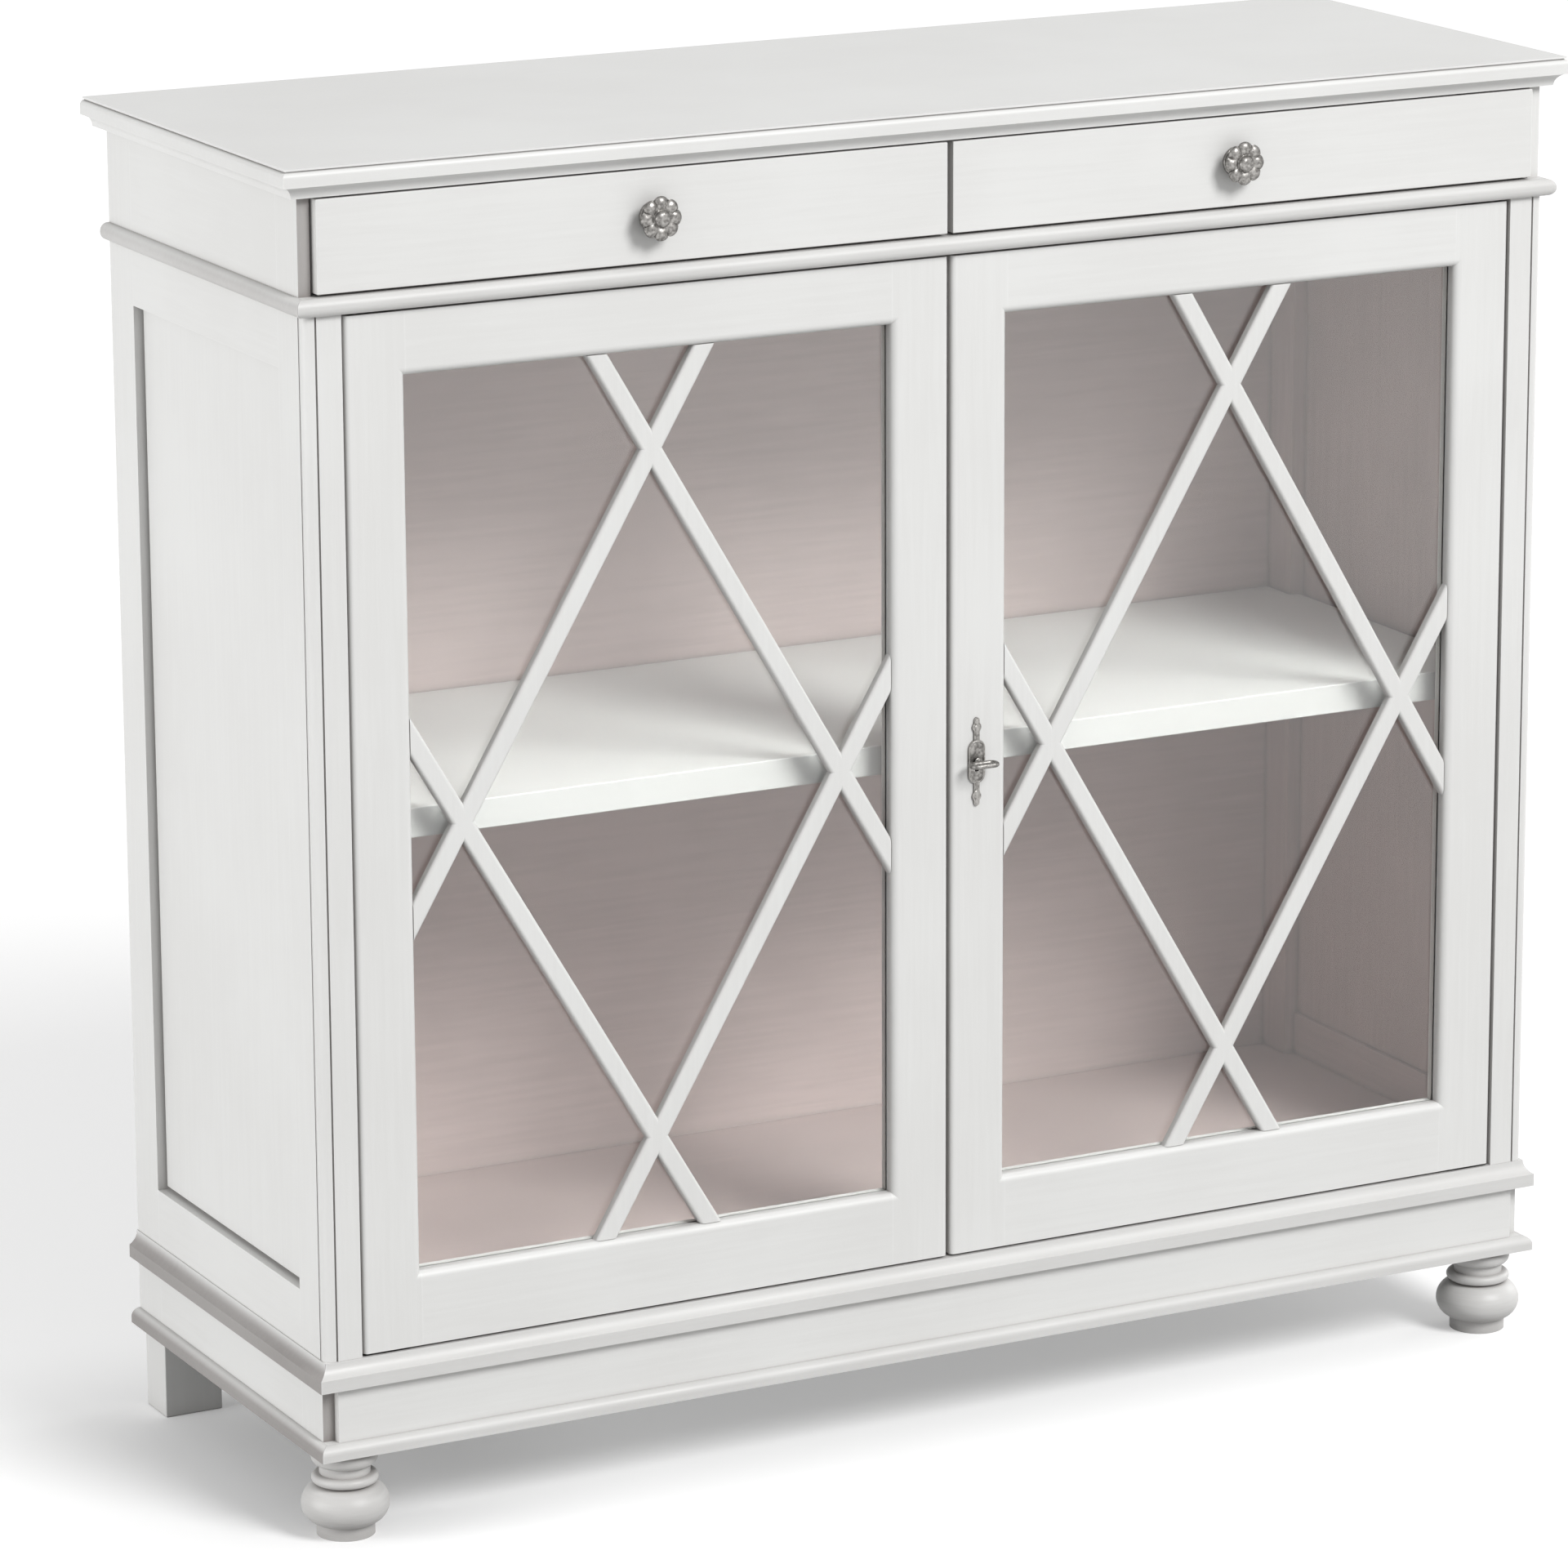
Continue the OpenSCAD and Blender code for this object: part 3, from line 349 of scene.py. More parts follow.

# %% [markdown]
# ## White lacquer
# The outside is a satin white lacquer, almost neutral, with a warm grey mixed into its corners as
# painted shade. One function makes it for each direction of the wood, because the brush follows
# the boards: upright on stiles and posts, across on rails and mouldings, from front to back on the
# side rails, and round and round on the turned feet, which are also mixed a little towards the
# grey all over. Two reaches of painted corner shade work together: a narrow one for quirks and
# gaps, and a wide and weaker one under overhanging mouldings.

# %% Colours and strengths of the lacquer
WHITE = (0.785, 0.785, 0.772, 1)
WHITE_THIN = (0.815, 0.815, 0.805, 1)
WHITE_SHADED = (0.745, 0.742, 0.728, 1)
# the grey that is mixed in as painted shade
PAINTED_SHADE_GREY = (0.27, 0.25, 0.24, 1)
WARM_GREY = (0.60, 0.50, 0.482, 1)
WARM_GREY_DARK = (0.52, 0.433, 0.416, 1)
NARROW_SHADE_SHARE, WIDE_SHADE_SHARE = 0.55, 0.35
SHADE_SWING = 0.06
INNER_RELIEF = 0.2
SATIN_SMOOTH, SATIN_ROUGH, CORNER_DULLNESS = 0.36, 0.50, 0.25
print("white:", WHITE[:3], "book space:", WARM_GREY[:3], "painted shade:", PAINTED_SHADE_GREY[:3])

# %% Finish: white lacquer
def white_lacquer(name, stretch, two_colours=False, shade_share=0.0, shade_mask_group=None, **where):
    """Satin white lacquer brushed along one direction, grey in the book space if two_colours.

    With a share of painted shade, grey is mixed in all over, or only where the given mask group
    says, which gets the values in where.
    """
    material, tree, shader = new_finish(name)
    marks = place_group(tree, brush_marks, Stretch=stretch)
    shade = place_group(tree, corner_shade, Reach=9 * MM, Patchiness=0.3)
    wide_shade = place_group(tree, corner_shade, Reach=30 * MM, Patchiness=0.2)
    rub = place_group(tree, rubbed_edge, Width=1.2 * MM, Unevenness=0.5)
    tone = remap(tree, marks.outputs["Tone"], 0.35, 0.65)
    colour = mix_colours(tree, tone, WHITE_SHADED, WHITE)
    colour = mix_colours(tree, rub.outputs["Rub"], colour, WHITE_THIN)
    relief = marks.outputs["Height"]
    wide_shade_darkening = sums(tree, "MULTIPLY", wide_shade.outputs["Shade"], WIDE_SHADE_SHARE)
    if two_colours:
        inside = place_group(tree, book_space).outputs["Inside"]
        outside = sums(tree, "SUBTRACT", 1.0, inside)
        inner = mix_colours(tree, tone, WARM_GREY_DARK, WARM_GREY)
        colour = mix_colours(tree, inside, colour, inner)
        wide_shade_darkening = sums(tree, "MULTIPLY", wide_shade_darkening, outside)
        relief_share = remap(tree, outside, 0.0, 1.0, INNER_RELIEF, 1.0)
        relief = sums(tree, "MULTIPLY", relief, relief_share)
    # painted shade: the corner shades, and any extra share, darken the colour towards the grey
    depth = sums(tree, "MULTIPLY", shade.outputs["Shade"], NARROW_SHADE_SHARE)
    depth = sums(tree, "MAXIMUM", depth, wide_shade_darkening)
    if shade_share:
        kept = remap(tree, marks.outputs["Tone"], 0.3, 0.7,
                     shade_share + SHADE_SWING, shade_share - SHADE_SWING)
        if shade_mask_group:
            shade_mask = place_group(tree, shade_mask_group, **where).outputs["Painted Shade"]
            kept = sums(tree, "MULTIPLY", kept, shade_mask)
        depth = sums(tree, "ADD", depth, kept, clamp=True)
    colour = mix_colours(tree, depth, colour, PAINTED_SHADE_GREY)
    tree.links.new(colour, shader.inputs["Base Color"])
    rough = remap(tree, marks.outputs["Height"], 0.4, 0.9, SATIN_SMOOTH, SATIN_ROUGH)
    dull = sums(tree, "MULTIPLY", shade.outputs["Shade"], CORNER_DULLNESS)
    tree.links.new(sums(tree, "ADD", rough, dull), shader.inputs["Roughness"])
    add_relief(tree, shader, relief, strength=0.22, distance=0.4 * MM)
    return material


ACROSS, UP, BACKWARDS, AROUND = (9, 210, 210), (210, 210, 9), (210, 9, 210), (25, 25, 420)
lacquer_upright = white_lacquer("white_lacquer_upright", UP)
lacquer_across = white_lacquer("white_lacquer_across", ACROSS)
# the feet are mixed 0.3 of the way towards the grey all over, besides painted corner shade
lacquer_turned = white_lacquer("white_lacquer_turned", AROUND, shade_share=0.30)
case_upright = white_lacquer("case_lacquer_upright", UP, two_colours=True)
# painted shade on the set-back left corner strip only
case_corner = white_lacquer("case_lacquer_corner", UP, two_colours=True, shade_share=0.75,
                            shade_mask_group=corner_strip)
case_across = white_lacquer("case_lacquer_across", ACROSS, two_colours=True)
case_backwards = white_lacquer("case_lacquer_backwards", BACKWARDS, two_colours=True)
print("white lacquer in", len([m for m in bpy.data.materials if "lacquer" in m.name]), "finishes")

# %% [markdown]
# ## Painted shade on the mouldings
# Each moulding gets its own share of painted shade on its side lengths. The painted shade on the
# fronts is the same on all of them, so it is given to the group as a part of that share. Top and
# Height tell the group how far below the moulding's upper edge a point lies.

# %% Finishes of the mouldings
# painted shade shares: on every moulding's front, and on each one's side lengths
FRONT_SHADE = 0.20
SIDE_SHADE_SHARE = {"plinth_cap_moulding": 0.92, "base_moulding": 0.92, "waist_moulding": 0.42}
moulding_finish = {}
for part, share in SIDE_SHADE_SHARE.items():
    low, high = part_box(part)
    where = {"Top": high.z, "Height": high.z - low.z, "Front_Film": FRONT_SHADE / share}
    moulding_finish[part] = white_lacquer(f"lacquer_{part}", ACROSS, shade_share=share,
                                          shade_mask_group=moulding_shade, **where)
print("moulding finishes:", [finish.name for finish in moulding_finish.values()])

# %% [markdown]
# ## Bare wood for the drawer boxes
# Drawer boxes are left unpainted, so that they run well and don't stick. Growth rings cut along
# the board show as long bands: a noise stretched along the board, folded into rings by a sine.
# Fine dark pores lie along the same direction. Inner corners get painted shade in the pore
# colour.

# %% Group: wood grain
wood_grain, given, result = new_group(
    "wood_grain", {"Stretch": (30.0, 2.0, 30.0)}, {"Band": "Float", "Pore": "Float"})
RINGS, PORES_PER_BAND = 46.0, 22
along = stretched(wood_grain, place_on_piece(wood_grain), given.outputs["Stretch"])
growth = noise(wood_grain, along, 1.0, Detail=2.0, Distortion=0.6)
folded = sums(wood_grain, "SINE", sums(wood_grain, "MULTIPLY", growth, RINGS))
wood_grain.links.new(remap(wood_grain, folded, -1.0, 1.0), result.inputs["Band"])
closer = stretched(wood_grain, along, (PORES_PER_BAND,) * 3)
pores = noise(wood_grain, closer, 1.0, Detail=3.0)
wood_grain.links.new(remap(wood_grain, pores, 0.58, 0.72), result.inputs["Pore"])
print("group:", wood_grain.name)

# %% Finish: bare wood
WOOD_LIGHT = (0.56, 0.39, 0.22, 1)
WOOD_DARK = (0.43, 0.27, 0.135, 1)
WOOD_PORE = (0.25, 0.15, 0.075, 1)
PORE_SHARE, CORNER_SHADE_SHARE = 0.5, 0.4
LIGHT_ROUGHNESS, BAND_ROUGHNESS = 0.62, 0.5


def bare_wood(name, stretch):
    """Unpainted wood whose grain runs along the axis with the smallest stretch."""
    material, tree, shader = new_finish(name)
    grain = place_group(tree, wood_grain, Stretch=stretch)
    band, pore = grain.outputs["Band"], grain.outputs["Pore"]
    shade = place_group(tree, corner_shade, Reach=10 * MM, Patchiness=0.3)
    colour = mix_colours(tree, band, WOOD_LIGHT, WOOD_DARK)
    colour = mix_colours(tree, sums(tree, "MULTIPLY", pore, PORE_SHARE), colour, WOOD_PORE)
    # painted shade: the wood is mixed towards the pore colour in its inner corners
    corner = sums(tree, "MULTIPLY", shade.outputs["Shade"], CORNER_SHADE_SHARE)
    colour = mix_colours(tree, corner, colour, WOOD_PORE)
    tree.links.new(colour, shader.inputs["Base Color"])
    rough = remap(tree, band, 0.0, 1.0, LIGHT_ROUGHNESS, BAND_ROUGHNESS)
    tree.links.new(rough, shader.inputs["Roughness"])
    relief = sums(tree, "SUBTRACT", sums(tree, "MULTIPLY", band, 0.3), pore)
    add_relief(tree, shader, relief, strength=0.25, distance=0.4 * MM)
    return material


wood_backwards = bare_wood("bare_wood_backwards", (42, 2.2, 42))
wood_across = bare_wood("bare_wood_across", (2.2, 42, 42))
print("bare wood:", wood_backwards.name, wood_across.name)

# %% [markdown]
# ## Metal
# The knobs, key and escutcheon are antique pewter: a dark skin everywhere, rubbed back to soft
# grey metal on the outer edges. The hidden fittings, pivots, pins and lock are plain plated steel.

# %% Finish: antique pewter and plated steel
TARNISH_DULLS = 0.25


def fitting_metal(name, bright, dark, rough, tarnish, grain):
    """Metal with a mottled dark skin. The skin is rougher than the open metal."""
    material, tree, shader = new_finish(name)
    shader.inputs["Metallic"].default_value = 1.0
    mottle = noise(tree, place_on_piece(tree), grain, Detail=5.0)
    shade = place_group(tree, corner_shade, Reach=3.5 * MM, Patchiness=0.2)
    rub = place_group(tree, rubbed_edge, Width=0.8 * MM, Unevenness=0.4)
    skin = sums(tree, "MULTIPLY", remap(tree, mottle, 0.3, 0.7), tarnish)
    skin = sums(tree, "MAXIMUM", skin, shade.outputs["Shade"])
    not_rubbed = sums(tree, "SUBTRACT", 1.0, rub.outputs["Rub"])
    skin = sums(tree, "MULTIPLY", skin, not_rubbed, clamp=True)
    tree.links.new(mix_colours(tree, skin, bright, dark), shader.inputs["Base Color"])
    dulled = remap(tree, skin, 0.0, 1.0, rough, rough + TARNISH_DULLS)
    tree.links.new(dulled, shader.inputs["Roughness"])
    add_relief(tree, shader, mottle, strength=0.3, distance=0.25 * MM)
    return material


PEWTER_RUBBED, PEWTER_SKIN = (0.34, 0.33, 0.315, 1), (0.075, 0.07, 0.066, 1)
STEEL_BRIGHT, STEEL_DULL = (0.56, 0.55, 0.53, 1), (0.25, 0.24, 0.23, 1)
antique_pewter = fitting_metal("antique_pewter", PEWTER_RUBBED, PEWTER_SKIN,
                               rough=0.32, tarnish=0.75, grain=420.0)
plated_steel = fitting_metal("plated_steel", STEEL_BRIGHT, STEEL_DULL,
                             rough=0.30, tarnish=0.4, grain=700.0)
print("metals:", antique_pewter.name, plated_steel.name)

# %% [markdown]
# ## Clear glass
# Window glass is clear with a faint green in its depth, and old panes wave a little. Lamps have
# to reach the shelves through it: a Light Path node lets shadow rays pass through a Transparent
# shader, while every other ray meets the real glass.

# %% Finish: clear glass
clear_glass, tree, shader = new_finish("clear_glass")
shader.inputs["Base Color"].default_value = (0.975, 0.985, 0.978, 1)
shader.inputs["Roughness"].default_value = 0.0
shader.inputs["IOR"].default_value = 1.5
shader.inputs["Transmission Weight"].default_value = 1.0
wave = noise(tree, place_on_piece(tree), 9.0, Detail=1.0)
add_relief(tree, shader, wave, strength=0.08, distance=1.0 * MM)
see_through = add_node(tree, "BsdfTransparent", {"Color": (0.93, 0.945, 0.935, 1)})
ray = add_node(tree, "LightPath")
either = add_node(tree, "MixShader", {0: ray.outputs["Is Shadow Ray"], 1: shader.outputs[0],
                                      2: see_through.outputs[0]})
tree.links.new(either.outputs[0], tree.nodes["Material Output"].inputs["Surface"])
print("glass:", clear_glass.name)

# %% [markdown]
# ## Dressing the parts
# Every CAD part gets the finish that its wood or metal has on the real piece. Parts are grouped
# by the direction that their grain runs in. The names of a door's or drawer's parts start with
# its side, those of the case's pairs end with it, and the rest come once.

# %% Give each part its finish
SIDES = ("left", "right")
side_first = {
    lacquer_upright: ["lattice", "hinge_stile", "meeting_stile", "glazing_beads"],
    lacquer_across: ["top_rail", "bottom_rail", "drawer_front"],
    wood_backwards: ["drawer_sides"],
    wood_across: ["drawer_back", "drawer_bottom"],
    clear_glass: ["glass"],
    antique_pewter: ["knob"],
    plated_steel: ["pivots"],
}
side_last = {
    case_upright: ["rear_post", "side_panel"],
    case_corner: ["front_post"],
    case_backwards: ["side_top_rail", "side_bottom_rail"],
    lacquer_turned: ["bun_foot"],
    lacquer_upright: ["rear_leg"],
}
single = {
    lacquer_across: ["top_board", "plinth_board", "shelf", "top_front_rail"],
    case_across: ["back_panel", "bottom_board", "waist_rail", "drawer_deck", "rear_bottom_rail"],
    lacquer_upright: ["drawer_divider"],
    antique_pewter: ["escutcheon", "key"],
    plated_steel: ["shelf_pins", "case_pivots", "lock_case", "lock_bolt", "strike_plate"],
}
finish_of = {}
for finish, names in side_first.items():
    finish_of |= {f"{side}_{part}": finish for part in names for side in SIDES}
for finish, names in side_last.items():
    finish_of |= {f"{part}_{side}": finish for part in names for side in SIDES}
for finish, names in single.items():
    finish_of |= {part: finish for part in names}
finish_of |= moulding_finish
for name, finish in finish_of.items():
    parts[name].data.materials.clear()
    parts[name].data.materials.append(finish)
print("dressed:", len(finish_of), "bare:", sorted(set(parts) - set(finish_of)))

# %% [markdown]
# ## Soft arrises
# No painted edge is knife sharp: it is sanded before painting, and the paint rounds it further.
# Parts whose edges stand free get a Bevel modifier about a millimetre wide. Their loose triangles
# are welded by a modifier first. Parts that meet flush with a neighbour keep sharp edges, or a
# groove would open along each joint.

# %% Soften the free edges
def soften(part, width):
    """Welds a part's triangles and rounds its sharp edges, by modifiers only."""
    weld = part.modifiers.new("weld", "WELD")
    weld.merge_threshold = 0.002 * MM
    bevel = part.modifiers.new("arris", "BEVEL")
    bevel.width, bevel.segments, bevel.profile = width, 2, 0.5
    bevel.limit_method, bevel.angle_limit = "ANGLE", math.radians(40)
    bevel.harden_normals = True


for side in SIDES:
    for part in ("drawer_front", "drawer_sides", "drawer_back"):
        soften(parts[f"{side}_{part}"], 0.8 * MM)
    soften(parts[f"rear_leg_{side}"], 1.2 * MM)
soften(parts["shelf"], 1.0 * MM)
print("softened:", sum(1 for part in parts.values() if part.modifiers))

# %% [markdown]
# ## Making a metal piece
# A turned or cast piece starts as half of its outline. Spinning it once round the axis closes
# the shape, and points that meet are merged. A finished mesh becomes an object that rides on one
# of the bookcase's moving bodies.

# %% Helpers for metal pieces
RIGHT, UPWARD, INWARD = Vector((1, 0, 0)), Vector((0, 0, 1)), Vector((0, 1, 0))
MERGE_WITHIN = 0.01 * MM


def middle_of(low, high):
    """The middle of a box."""
    return (low + high) / 2


def spun_solid(bm, outline, centre, axis, turns):
    """Spins points, given in mm as (radius, height along axis), once round the axis."""
    across = axis.orthogonal().normalized()
    corners = [bm.verts.new(centre + across * (r * MM) + axis * (h * MM)) for r, h in outline]
    edges = [bm.edges.new(pair) for pair in zip(corners, corners[1:])]
    bmesh.ops.spin(bm, geom=corners + edges, cent=centre, axis=axis, angle=2 * math.pi,
                   steps=turns, use_merge=True, use_duplicate=False)
    bmesh.ops.remove_doubles(bm, verts=bm.verts[:], dist=MERGE_WITHIN)
    bmesh.ops.recalc_face_normals(bm, faces=bm.faces[:])


def new_piece(name, bm, finish, body, smooth=40):
    """Turns a bmesh into a piece that rides on a body and wears a finish."""
    mesh = bpy.data.meshes.new(name)
    bm.to_mesh(mesh)
    bm.free()
    mesh.materials.append(finish)
    piece = bpy.data.objects.new(name, mesh)
    bpy.context.scene.collection.objects.link(piece)
    mesh.shade_smooth()
    mesh.set_sharp_from_angle(angle=math.radians(smooth))
    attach(piece, body)
    print(name, "faces:", len(mesh.polygons))
    return piece


print("piece helpers ready")

# %% [markdown]
# ## The drawer knobs
# Each knob is a cast pewter rosette on a spindle that goes through the drawer front: a flat rose
# against the drawer, a waisted neck, and a round head with eight petals about a raised button.
# It is spun in one go. Then the head's points between the petals are drawn towards the axis, and
# the valleys sink a little from both sides. All numbers here are in millimetres.

# %% Knob outline
knob_outline = [
    # the spindle inside the drawer front
    (0, -18), (2.2, -18), (2.5, -17.7), (2.5, 0),
    # the rose
    (11.2, 0), (12, 0.5), (12, 1.5), (11.4, 2.2), (10.2, 2.4), (9.8, 3.1), (8.8, 3.6), (7.0, 3.9),
    # the neck
    (5.6, 4.6), (4.8, 5.8), (4.7, 7.2), (5.4, 8.4),
    # the head
    (8.0, 9.2), (12.0, 9.9), (15.4, 11.0), (17.2, 12.6), (17.5, 13.9), (16.9, 15.2),
    (15.2, 16.3), (13.0, 16.9), (10.6, 16.9), (8.4, 16.2), (7.2, 15.7),
    # the button
    (6.7, 16.0), (6.5, 17.2), (5.7, 18.6), (4.2, 19.5), (2.2, 19.9), (0, 20)]
PETALS, PETAL_FROM, PETAL_FULL = 8, 7.0, 13.0
HEAD_FROM, HEAD_MIDDLE = 9.0, 14.0
VALLEY_WIDTH, VALLEY_DRAWN_IN = 0.7, 0.13
FACE_SINKS, BACK_SINKS = 1.5, -0.5
print("knob:", 2 * max(r for r, h in knob_outline), "mm across,", knob_outline[-1][1], "mm out")

# %% Knobs
for side in SIDES:
    knob_middle = middle_of(*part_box(f"{side}_knob"))
    front_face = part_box(f"{side}_drawer_front")[0].y
    centre = Vector((knob_middle.x, front_face, knob_middle.z))
    bm = bmesh.new()
    spun_solid(bm, knob_outline, centre, -INWARD, turns=128)
    for vert in bm.verts:
        out = vert.co - centre
        height, radius = -out.y / MM, math.hypot(out.x, out.z) / MM
        if height > HEAD_FROM and radius > PETAL_FROM:
            petal = abs(math.cos(PETALS / 2 * math.atan2(out.z, out.x))) ** VALLEY_WIDTH
            valley = (1 - petal) * min(1.0, (radius - PETAL_FROM) / (PETAL_FULL - PETAL_FROM))
            shrink = 1 - VALLEY_DRAWN_IN * valley
            vert.co.x, vert.co.z = centre.x + out.x * shrink, centre.z + out.z * shrink
            vert.co.y += (FACE_SINKS if height > HEAD_MIDDLE else BACK_SINKS) * MM * valley
    knob = new_piece(f"{side}_rosette_knob", bm, antique_pewter, f"{side}_drawer",
                     smooth=50)
    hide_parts(f"{side}_knob")

# %% [markdown]
# ## A rod led round an oval
# The key's bow and the raised rim of its escutcheon have the same form, a rod led round a long
# oval, so one function makes both: half a turn, a straight run, half a turn and a run back. The
# rod's section is an oval too, first drawn as a circle whose matrix stretches it.

# %% Helper for oval rods
def rod_oval(bm, centre, along, across, length, width, rod_across, rod_through):
    """Leads an oval rod section round a long oval that lies in the plane of along and across."""
    through = along.cross(across)
    bend, run = (width - rod_across) / 2, (length - width) / 2
    ends = [centre + along * run, centre - along * run]
    axes = Matrix((across * rod_across / 2, through * rod_through / 2, along))
    section = axes.transposed().to_4x4()
    section.translation = ends[0] + across * bend
    made = bmesh.ops.create_circle(bm, segments=16, radius=1.0, matrix=section)
    ring = {edge for vert in made["verts"] for edge in vert.link_edges}
    for end, step in zip(ends, (-along, along)):
        geometry = list({vert for edge in ring for vert in edge.verts}) + list(ring)
        turned = bmesh.ops.spin(bm, geom=geometry, cent=end, axis=through, angle=-math.pi,
                                steps=20)
        ring = [item for item in turned["geom_last"] if isinstance(item, bmesh.types.BMEdge)]
        drawn = bmesh.ops.extrude_edge_only(bm, edges=ring)["geom"]
        verts = [item for item in drawn if isinstance(item, bmesh.types.BMVert)]
        bmesh.ops.translate(bm, verts=verts, vec=step * 2 * run)
        ring = [edge for edge in drawn if isinstance(edge, bmesh.types.BMEdge)
                and all(vert in verts for vert in edge.verts)]
    bmesh.ops.remove_doubles(bm, verts=bm.verts[:], dist=MERGE_WITHIN)
    bmesh.ops.recalc_face_normals(bm, faces=bm.faces[:])


print("rod helper ready")

# %% [markdown]
# ## The key
# The key is one casting: a shank with turned collars, a bit near its tip, and a bow of round rod
# bent to a flat oval. The shank is spun, from its tip inside the lock to the middle of the bow.

# %% Key
plate_low, plate_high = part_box("escutcheon")
key_low, key_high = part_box("key")
plate_middle = middle_of(plate_low, plate_high)
lock_centre = Vector((plate_middle.x, plate_high.y, plate_middle.z))
BOW_DEPTH, BOW_ROD_ACROSS, BOW_ROD_THROUGH = 13 * MM, 3.6 * MM, 4 * MM
BIT = Vector((7 * MM, 5 * MM, 2.4 * MM))

bm = bmesh.new()
bow_centre = Vector((lock_centre.x, key_low.y + BOW_DEPTH / 2, lock_centre.z))
rod_oval(bm, bow_centre, RIGHT, INWARD, key_high.x - key_low.x, BOW_DEPTH,
         BOW_ROD_ACROSS, BOW_ROD_THROUGH)
tip = -(key_high.y - lock_centre.y) / MM
shank_outline = [
    (0, tip), (2.0, tip), (2.2, tip + 0.3), (2.2, 2.6), (2.7, 2.9), (3.3, 3.4), (3.3, 3.8),
    (2.6, 4.2), (2.5, 4.6), (3.2, 4.9), (3.5, 5.5), (3.2, 6.1), (2.4, 6.5), (2.0, 7.2),
    (1.8, 9.0), (0, 9.2)]
spun_solid(bm, shank_outline, lock_centre, -INWARD, turns=40)
bit_centre = Vector((lock_centre.x + BIT.x / 2, key_high.y - BIT.y / 2, lock_centre.z))
bit = bmesh.ops.create_cube(bm, size=1.0, matrix=Matrix.Translation(bit_centre)
                            @ Matrix.Diagonal((*BIT, 1)))
bit_edges = list({edge for vert in bit["verts"] for edge in vert.link_edges})
bmesh.ops.bevel(bm, geom=bit_edges, offset=0.3 * MM, affect="EDGES", segments=2, profile=0.5,
                material=-1)
cast_key = new_piece("cast_key", bm, antique_pewter, "key")
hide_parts("key")

# %% [markdown]
# ## The escutcheon's raised work
# The escutcheon is a thin stamped plate, an oval with two tails, and the CAD part has that shape.
# The stamp's raised work is added on its face: a rim round the oval, and on each tail a rib, a
# small domed leaf and a bud at the end.

# %% Escutcheon relief
OVAL_HEIGHT, OVAL_WIDTH, RIM_INSET = 36 * MM, 15 * MM, 0.6 * MM
RIM_WIDTH, RIM_RISE, RIB_RADIUS = 1.8 * MM, 1.6 * MM, 0.9 * MM
RIB_OVERLAP, RIB_END = 0.5 * MM, 2.0 * MM
# how far from the tail's end each dome lies, its radii, and its segments round and up
domes = {"leaf": (9.6 * MM, (3.2 * MM, 0.9 * MM, 3.4 * MM), 20, 12),
         "bud": (3.6 * MM, (1.8 * MM, 0.8 * MM, 2.2 * MM), 16, 10)}

bm = bmesh.new()
face_centre = Vector((lock_centre.x, plate_low.y, lock_centre.z))
rod_oval(bm, face_centre, UPWARD, RIGHT, OVAL_HEIGHT - RIM_INSET, OVAL_WIDTH - RIM_INSET,
         RIM_WIDTH, RIM_RISE)
half_plate = (plate_high.z - plate_low.z) / 2
rib_low, rib_high = OVAL_HEIGHT / 2 - RIB_OVERLAP, half_plate - RIB_END
for end in (-1, 1):
    rib_place = Matrix.Translation(face_centre + UPWARD * end * (rib_low + rib_high) / 2)
    bmesh.ops.create_cone(bm, cap_ends=True, segments=16, radius1=RIB_RADIUS,
                          radius2=RIB_RADIUS, depth=rib_high - rib_low, matrix=rib_place)
    for from_end, radii, round_segments, up_segments in domes.values():
        dome_place = Matrix.Translation(face_centre + UPWARD * end * (half_plate - from_end))
        bmesh.ops.create_uvsphere(bm, u_segments=round_segments, v_segments=up_segments,
                                  radius=1.0, matrix=dome_place @ Matrix.Diagonal((*radii, 1)))
new_piece("escutcheon_relief", bm, antique_pewter, "right_door")

# %% [markdown]
# ## What a ray sees
# The floor and the room look white to the camera, to mirrors and through glass, but give the
# bookcase less light than that. A Light Path node tells which ray asks. A ray that has already
# left a matt surface is left out, even one that goes on through the glass, or the shelves behind
# the glass would get too much light.

# %% Helper for what a ray sees
def sight(tree):
    """Whether a ray sees the room directly, and whether it has left a matt surface: 1 or 0."""
    ray = add_node(tree, "LightPath")
    bounced = sums(tree, "MINIMUM", ray.outputs["Diffuse Depth"], 1.0)
    seen = sums(tree, "MAXIMUM", ray.outputs["Is Camera Ray"], ray.outputs["Is Glossy Ray"])
    seen = sums(tree, "MAXIMUM", seen, ray.outputs["Is Transmission Ray"])
    seen = sums(tree, "MULTIPLY", seen, sums(tree, "SUBTRACT", 1.0, bounced))
    return seen, bounced


print("light path helper ready")

# %% [markdown]
# ## The floor
# A pale, wide floor keeps the shadow that the bookcase throws. A little of its own light lifts it
# to white where it is seen, more so far away from the bookcase. To the light that bounces round
# the room it is a darker paper. The key lamp stands to the right. Beside the left feet the floor's
# own light fades, which paints a deeper shadow there than the lamps throw.

# %% Floor
FLOOR_SIZE = 30.0
bm = bmesh.new()
bmesh.ops.create_grid(bm, x_segments=2, y_segments=2, size=FLOOR_SIZE)
floor_mesh = bpy.data.meshes.new("studio_floor")
bm.to_mesh(floor_mesh)
bm.free()
floor = bpy.data.objects.new("studio_floor", floor_mesh)
bpy.context.scene.collection.objects.link(floor)
floor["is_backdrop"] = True
print("floor:", floor.name)

# %% Finish: floor paper
PAPER_DARK, PAPER_LIGHT = (0.87, 0.87, 0.87, 1), (0.89, 0.89, 0.89, 1)
PAPER_BOUNCED = (0.45, 0.45, 0.45, 1)
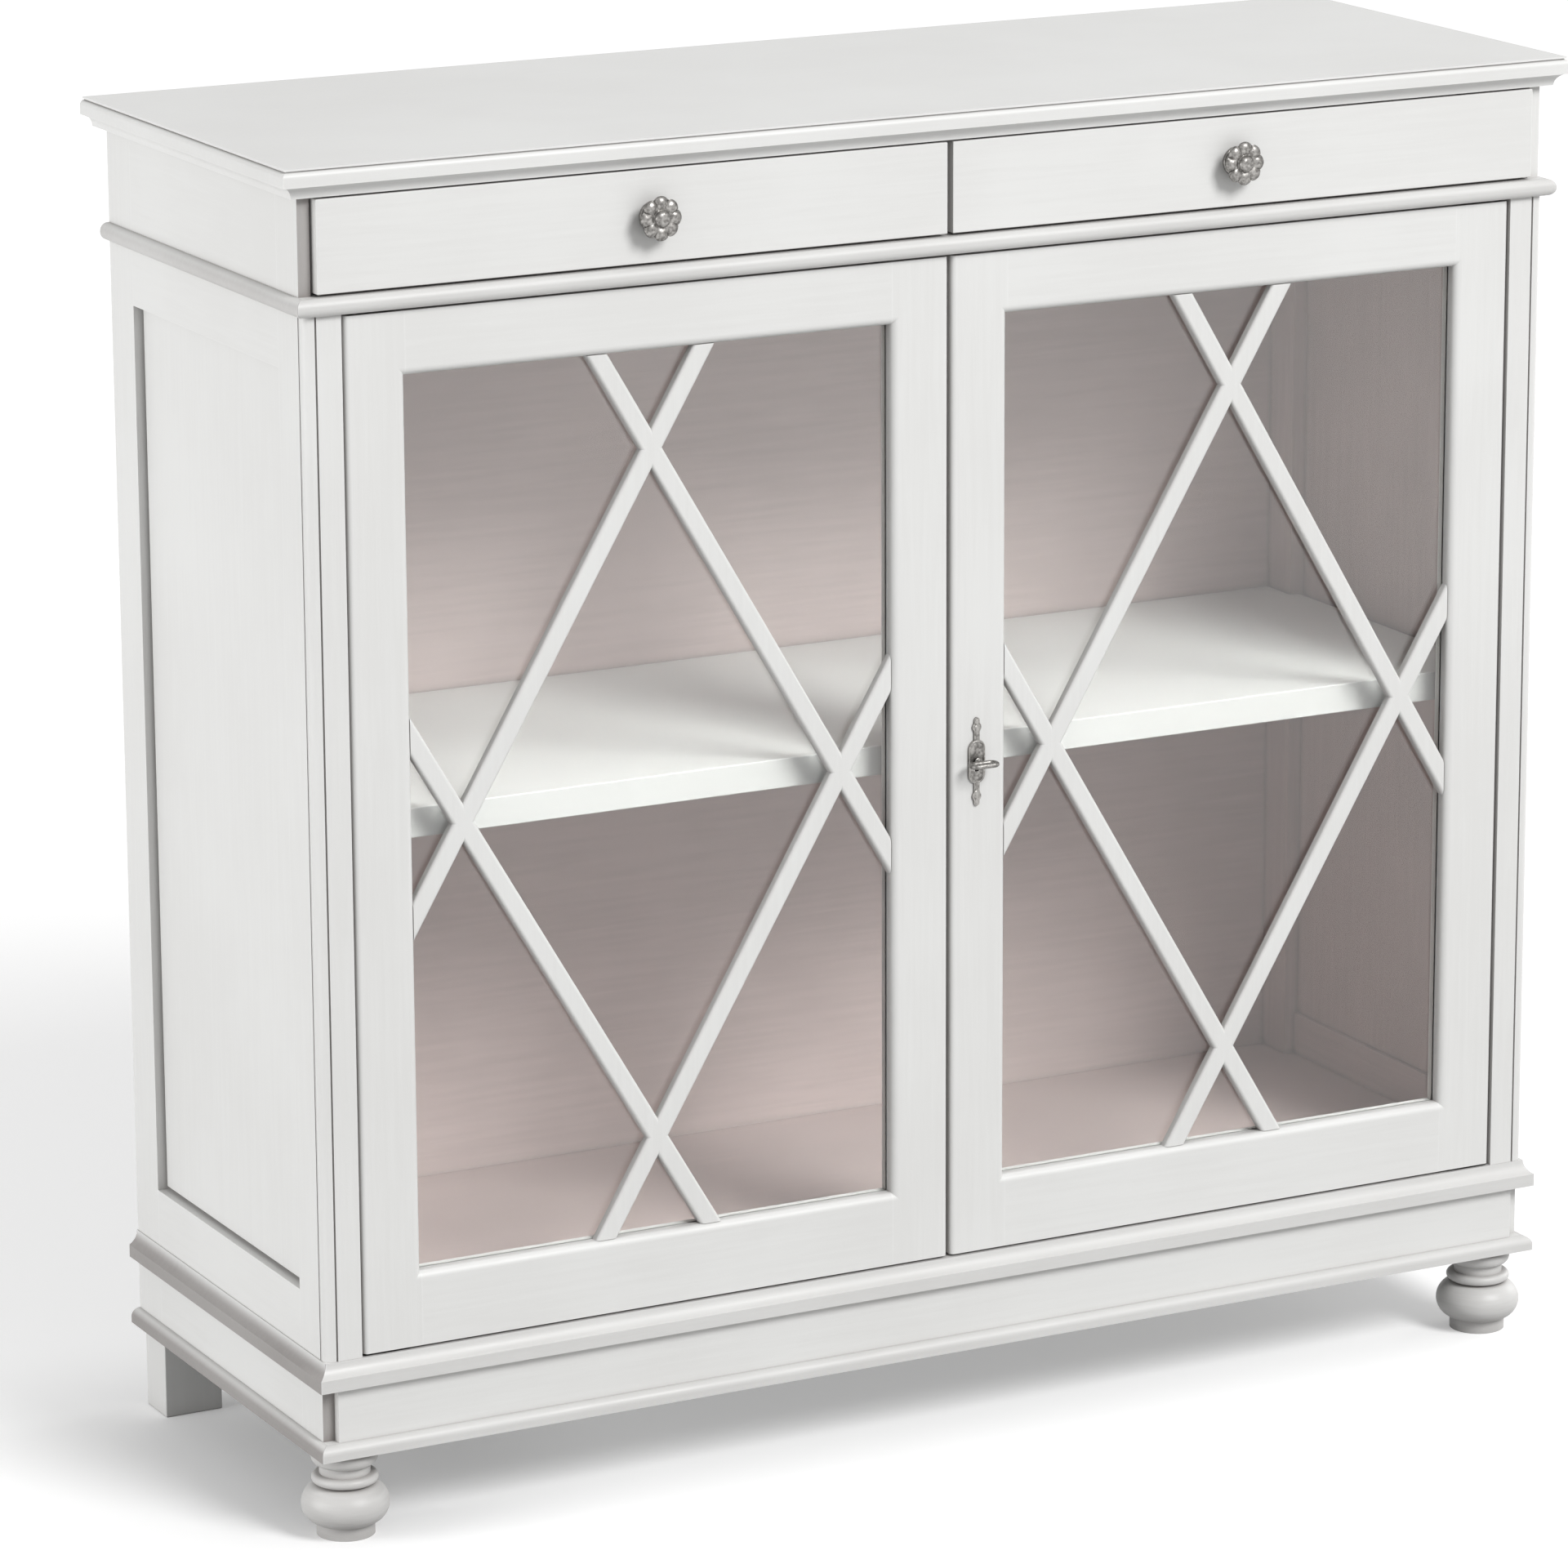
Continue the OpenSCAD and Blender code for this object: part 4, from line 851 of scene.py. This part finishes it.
# the floor's own light, and from which distance to which it changes, in metres
LIFT_NEAR, LIFT_FAR, NEAR, FAR = 0.30, 0.62, 0.8, 3.5
beside_feet = Vector((-0.58, 0.0, 0))
LIFT_BESIDE_FEET, FADE_FROM, FADE_TO = 0.4, 0.08, 0.38

floor_paper, tree, shader = new_finish("floor_paper")
place = place_on_piece(tree)
speck = noise(tree, place, 3.0)
seen, bounced = sight(tree)
paper = mix_colours(tree, speck, PAPER_DARK, PAPER_LIGHT)
paper = mix_colours(tree, bounced, paper, PAPER_BOUNCED)
tree.links.new(paper, shader.inputs["Base Color"])
shader.inputs["Roughness"].default_value = 0.9
shader.inputs["Specular IOR Level"].default_value = 0.1
from_middle = add_node(tree, "VectorMath", {0: place}, operation="LENGTH").outputs["Value"]
lift = remap(tree, from_middle, NEAR, FAR, LIFT_NEAR, LIFT_FAR)
own_light = sums(tree, "MULTIPLY", seen, lift)
# painted shadow: the floor's own light fades beside the left feet
from_feet = add_node(tree, "VectorMath", {0: place, 1: beside_feet}, operation="DISTANCE")
painted_shadow_fade = remap(tree, from_feet.outputs["Value"], FADE_FROM, FADE_TO, LIFT_BESIDE_FEET, 1.0)
own_light = sums(tree, "MULTIPLY", own_light, painted_shadow_fade)
glow = add_node(tree, "Emission", {"Color": (1, 1, 1, 1), "Strength": own_light})
both = add_node(tree, "AddShader", {0: shader.outputs[0], 1: glow.outputs[0]})
tree.links.new(both.outputs[0], tree.nodes["Material Output"].inputs["Surface"])
floor_mesh.materials.append(floor_paper)
print("finish:", floor_paper.name)

# %% [markdown]
# ## Light
# A white room all round gives even, soft light. One wide lamp from the right front, above the
# camera, shapes the mouldings. Two weaker ones keep the sides bright, the left one more than the
# right.

# %% Room light
ROOM_ON_MATT, ROOM_SEEN = 0.44, 1.0
room = bpy.data.worlds.new("white_room")
bpy.context.scene.world = room
room.use_nodes = True
tree = room.node_tree
seen = sight(tree)[0]
strength = remap(tree, seen, 0.0, 1.0, ROOM_ON_MATT, ROOM_SEEN)
tree.links.new(strength, tree.nodes["Background"].inputs["Strength"])
tree.nodes["Background"].inputs["Color"].default_value = (1, 1, 1, 1)
print("room:", room.name)

# %% Lamps
def soft_lamp(name, place, target, size, watts):
    """A round area lamp that faces the target."""
    data = bpy.data.lights.new(name, "AREA")
    data.shape, data.size, data.energy = "DISK", size, watts
    lamp = bpy.data.objects.new(name, data)
    lamp.matrix_world = (target - place).to_track_quat("-Z", "Y").to_matrix().to_4x4()
    lamp.matrix_world.translation = place
    bpy.context.scene.collection.objects.link(lamp)
    print(name, watts, "W")


middle = Vector((0, 0, 0.55))
soft_lamp("key_lamp", Vector((2.4, -6.9, 6.2)), middle, size=3.9, watts=600)
soft_lamp("side_lamp", Vector((-3.6, 0.2, 0.95)), middle, size=1.7, watts=52)
soft_lamp("far_side_lamp", Vector((3.6, 0.6, 1.2)), middle, size=1.7, watts=26)
bpy.context.scene.view_settings.view_transform = "Standard"

# %% [markdown]
# The dressed bookcase has to fill the same box as the CAD model. Both boxes are kept, so that
# they can be compared.

# %% Keep both boxes and finish
low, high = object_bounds()
largest = max(abs(a - b) for a, b in zip([*low, *high], [*cad_low, *cad_high]))
print("largest difference in mm:", round(largest / MM, 3))
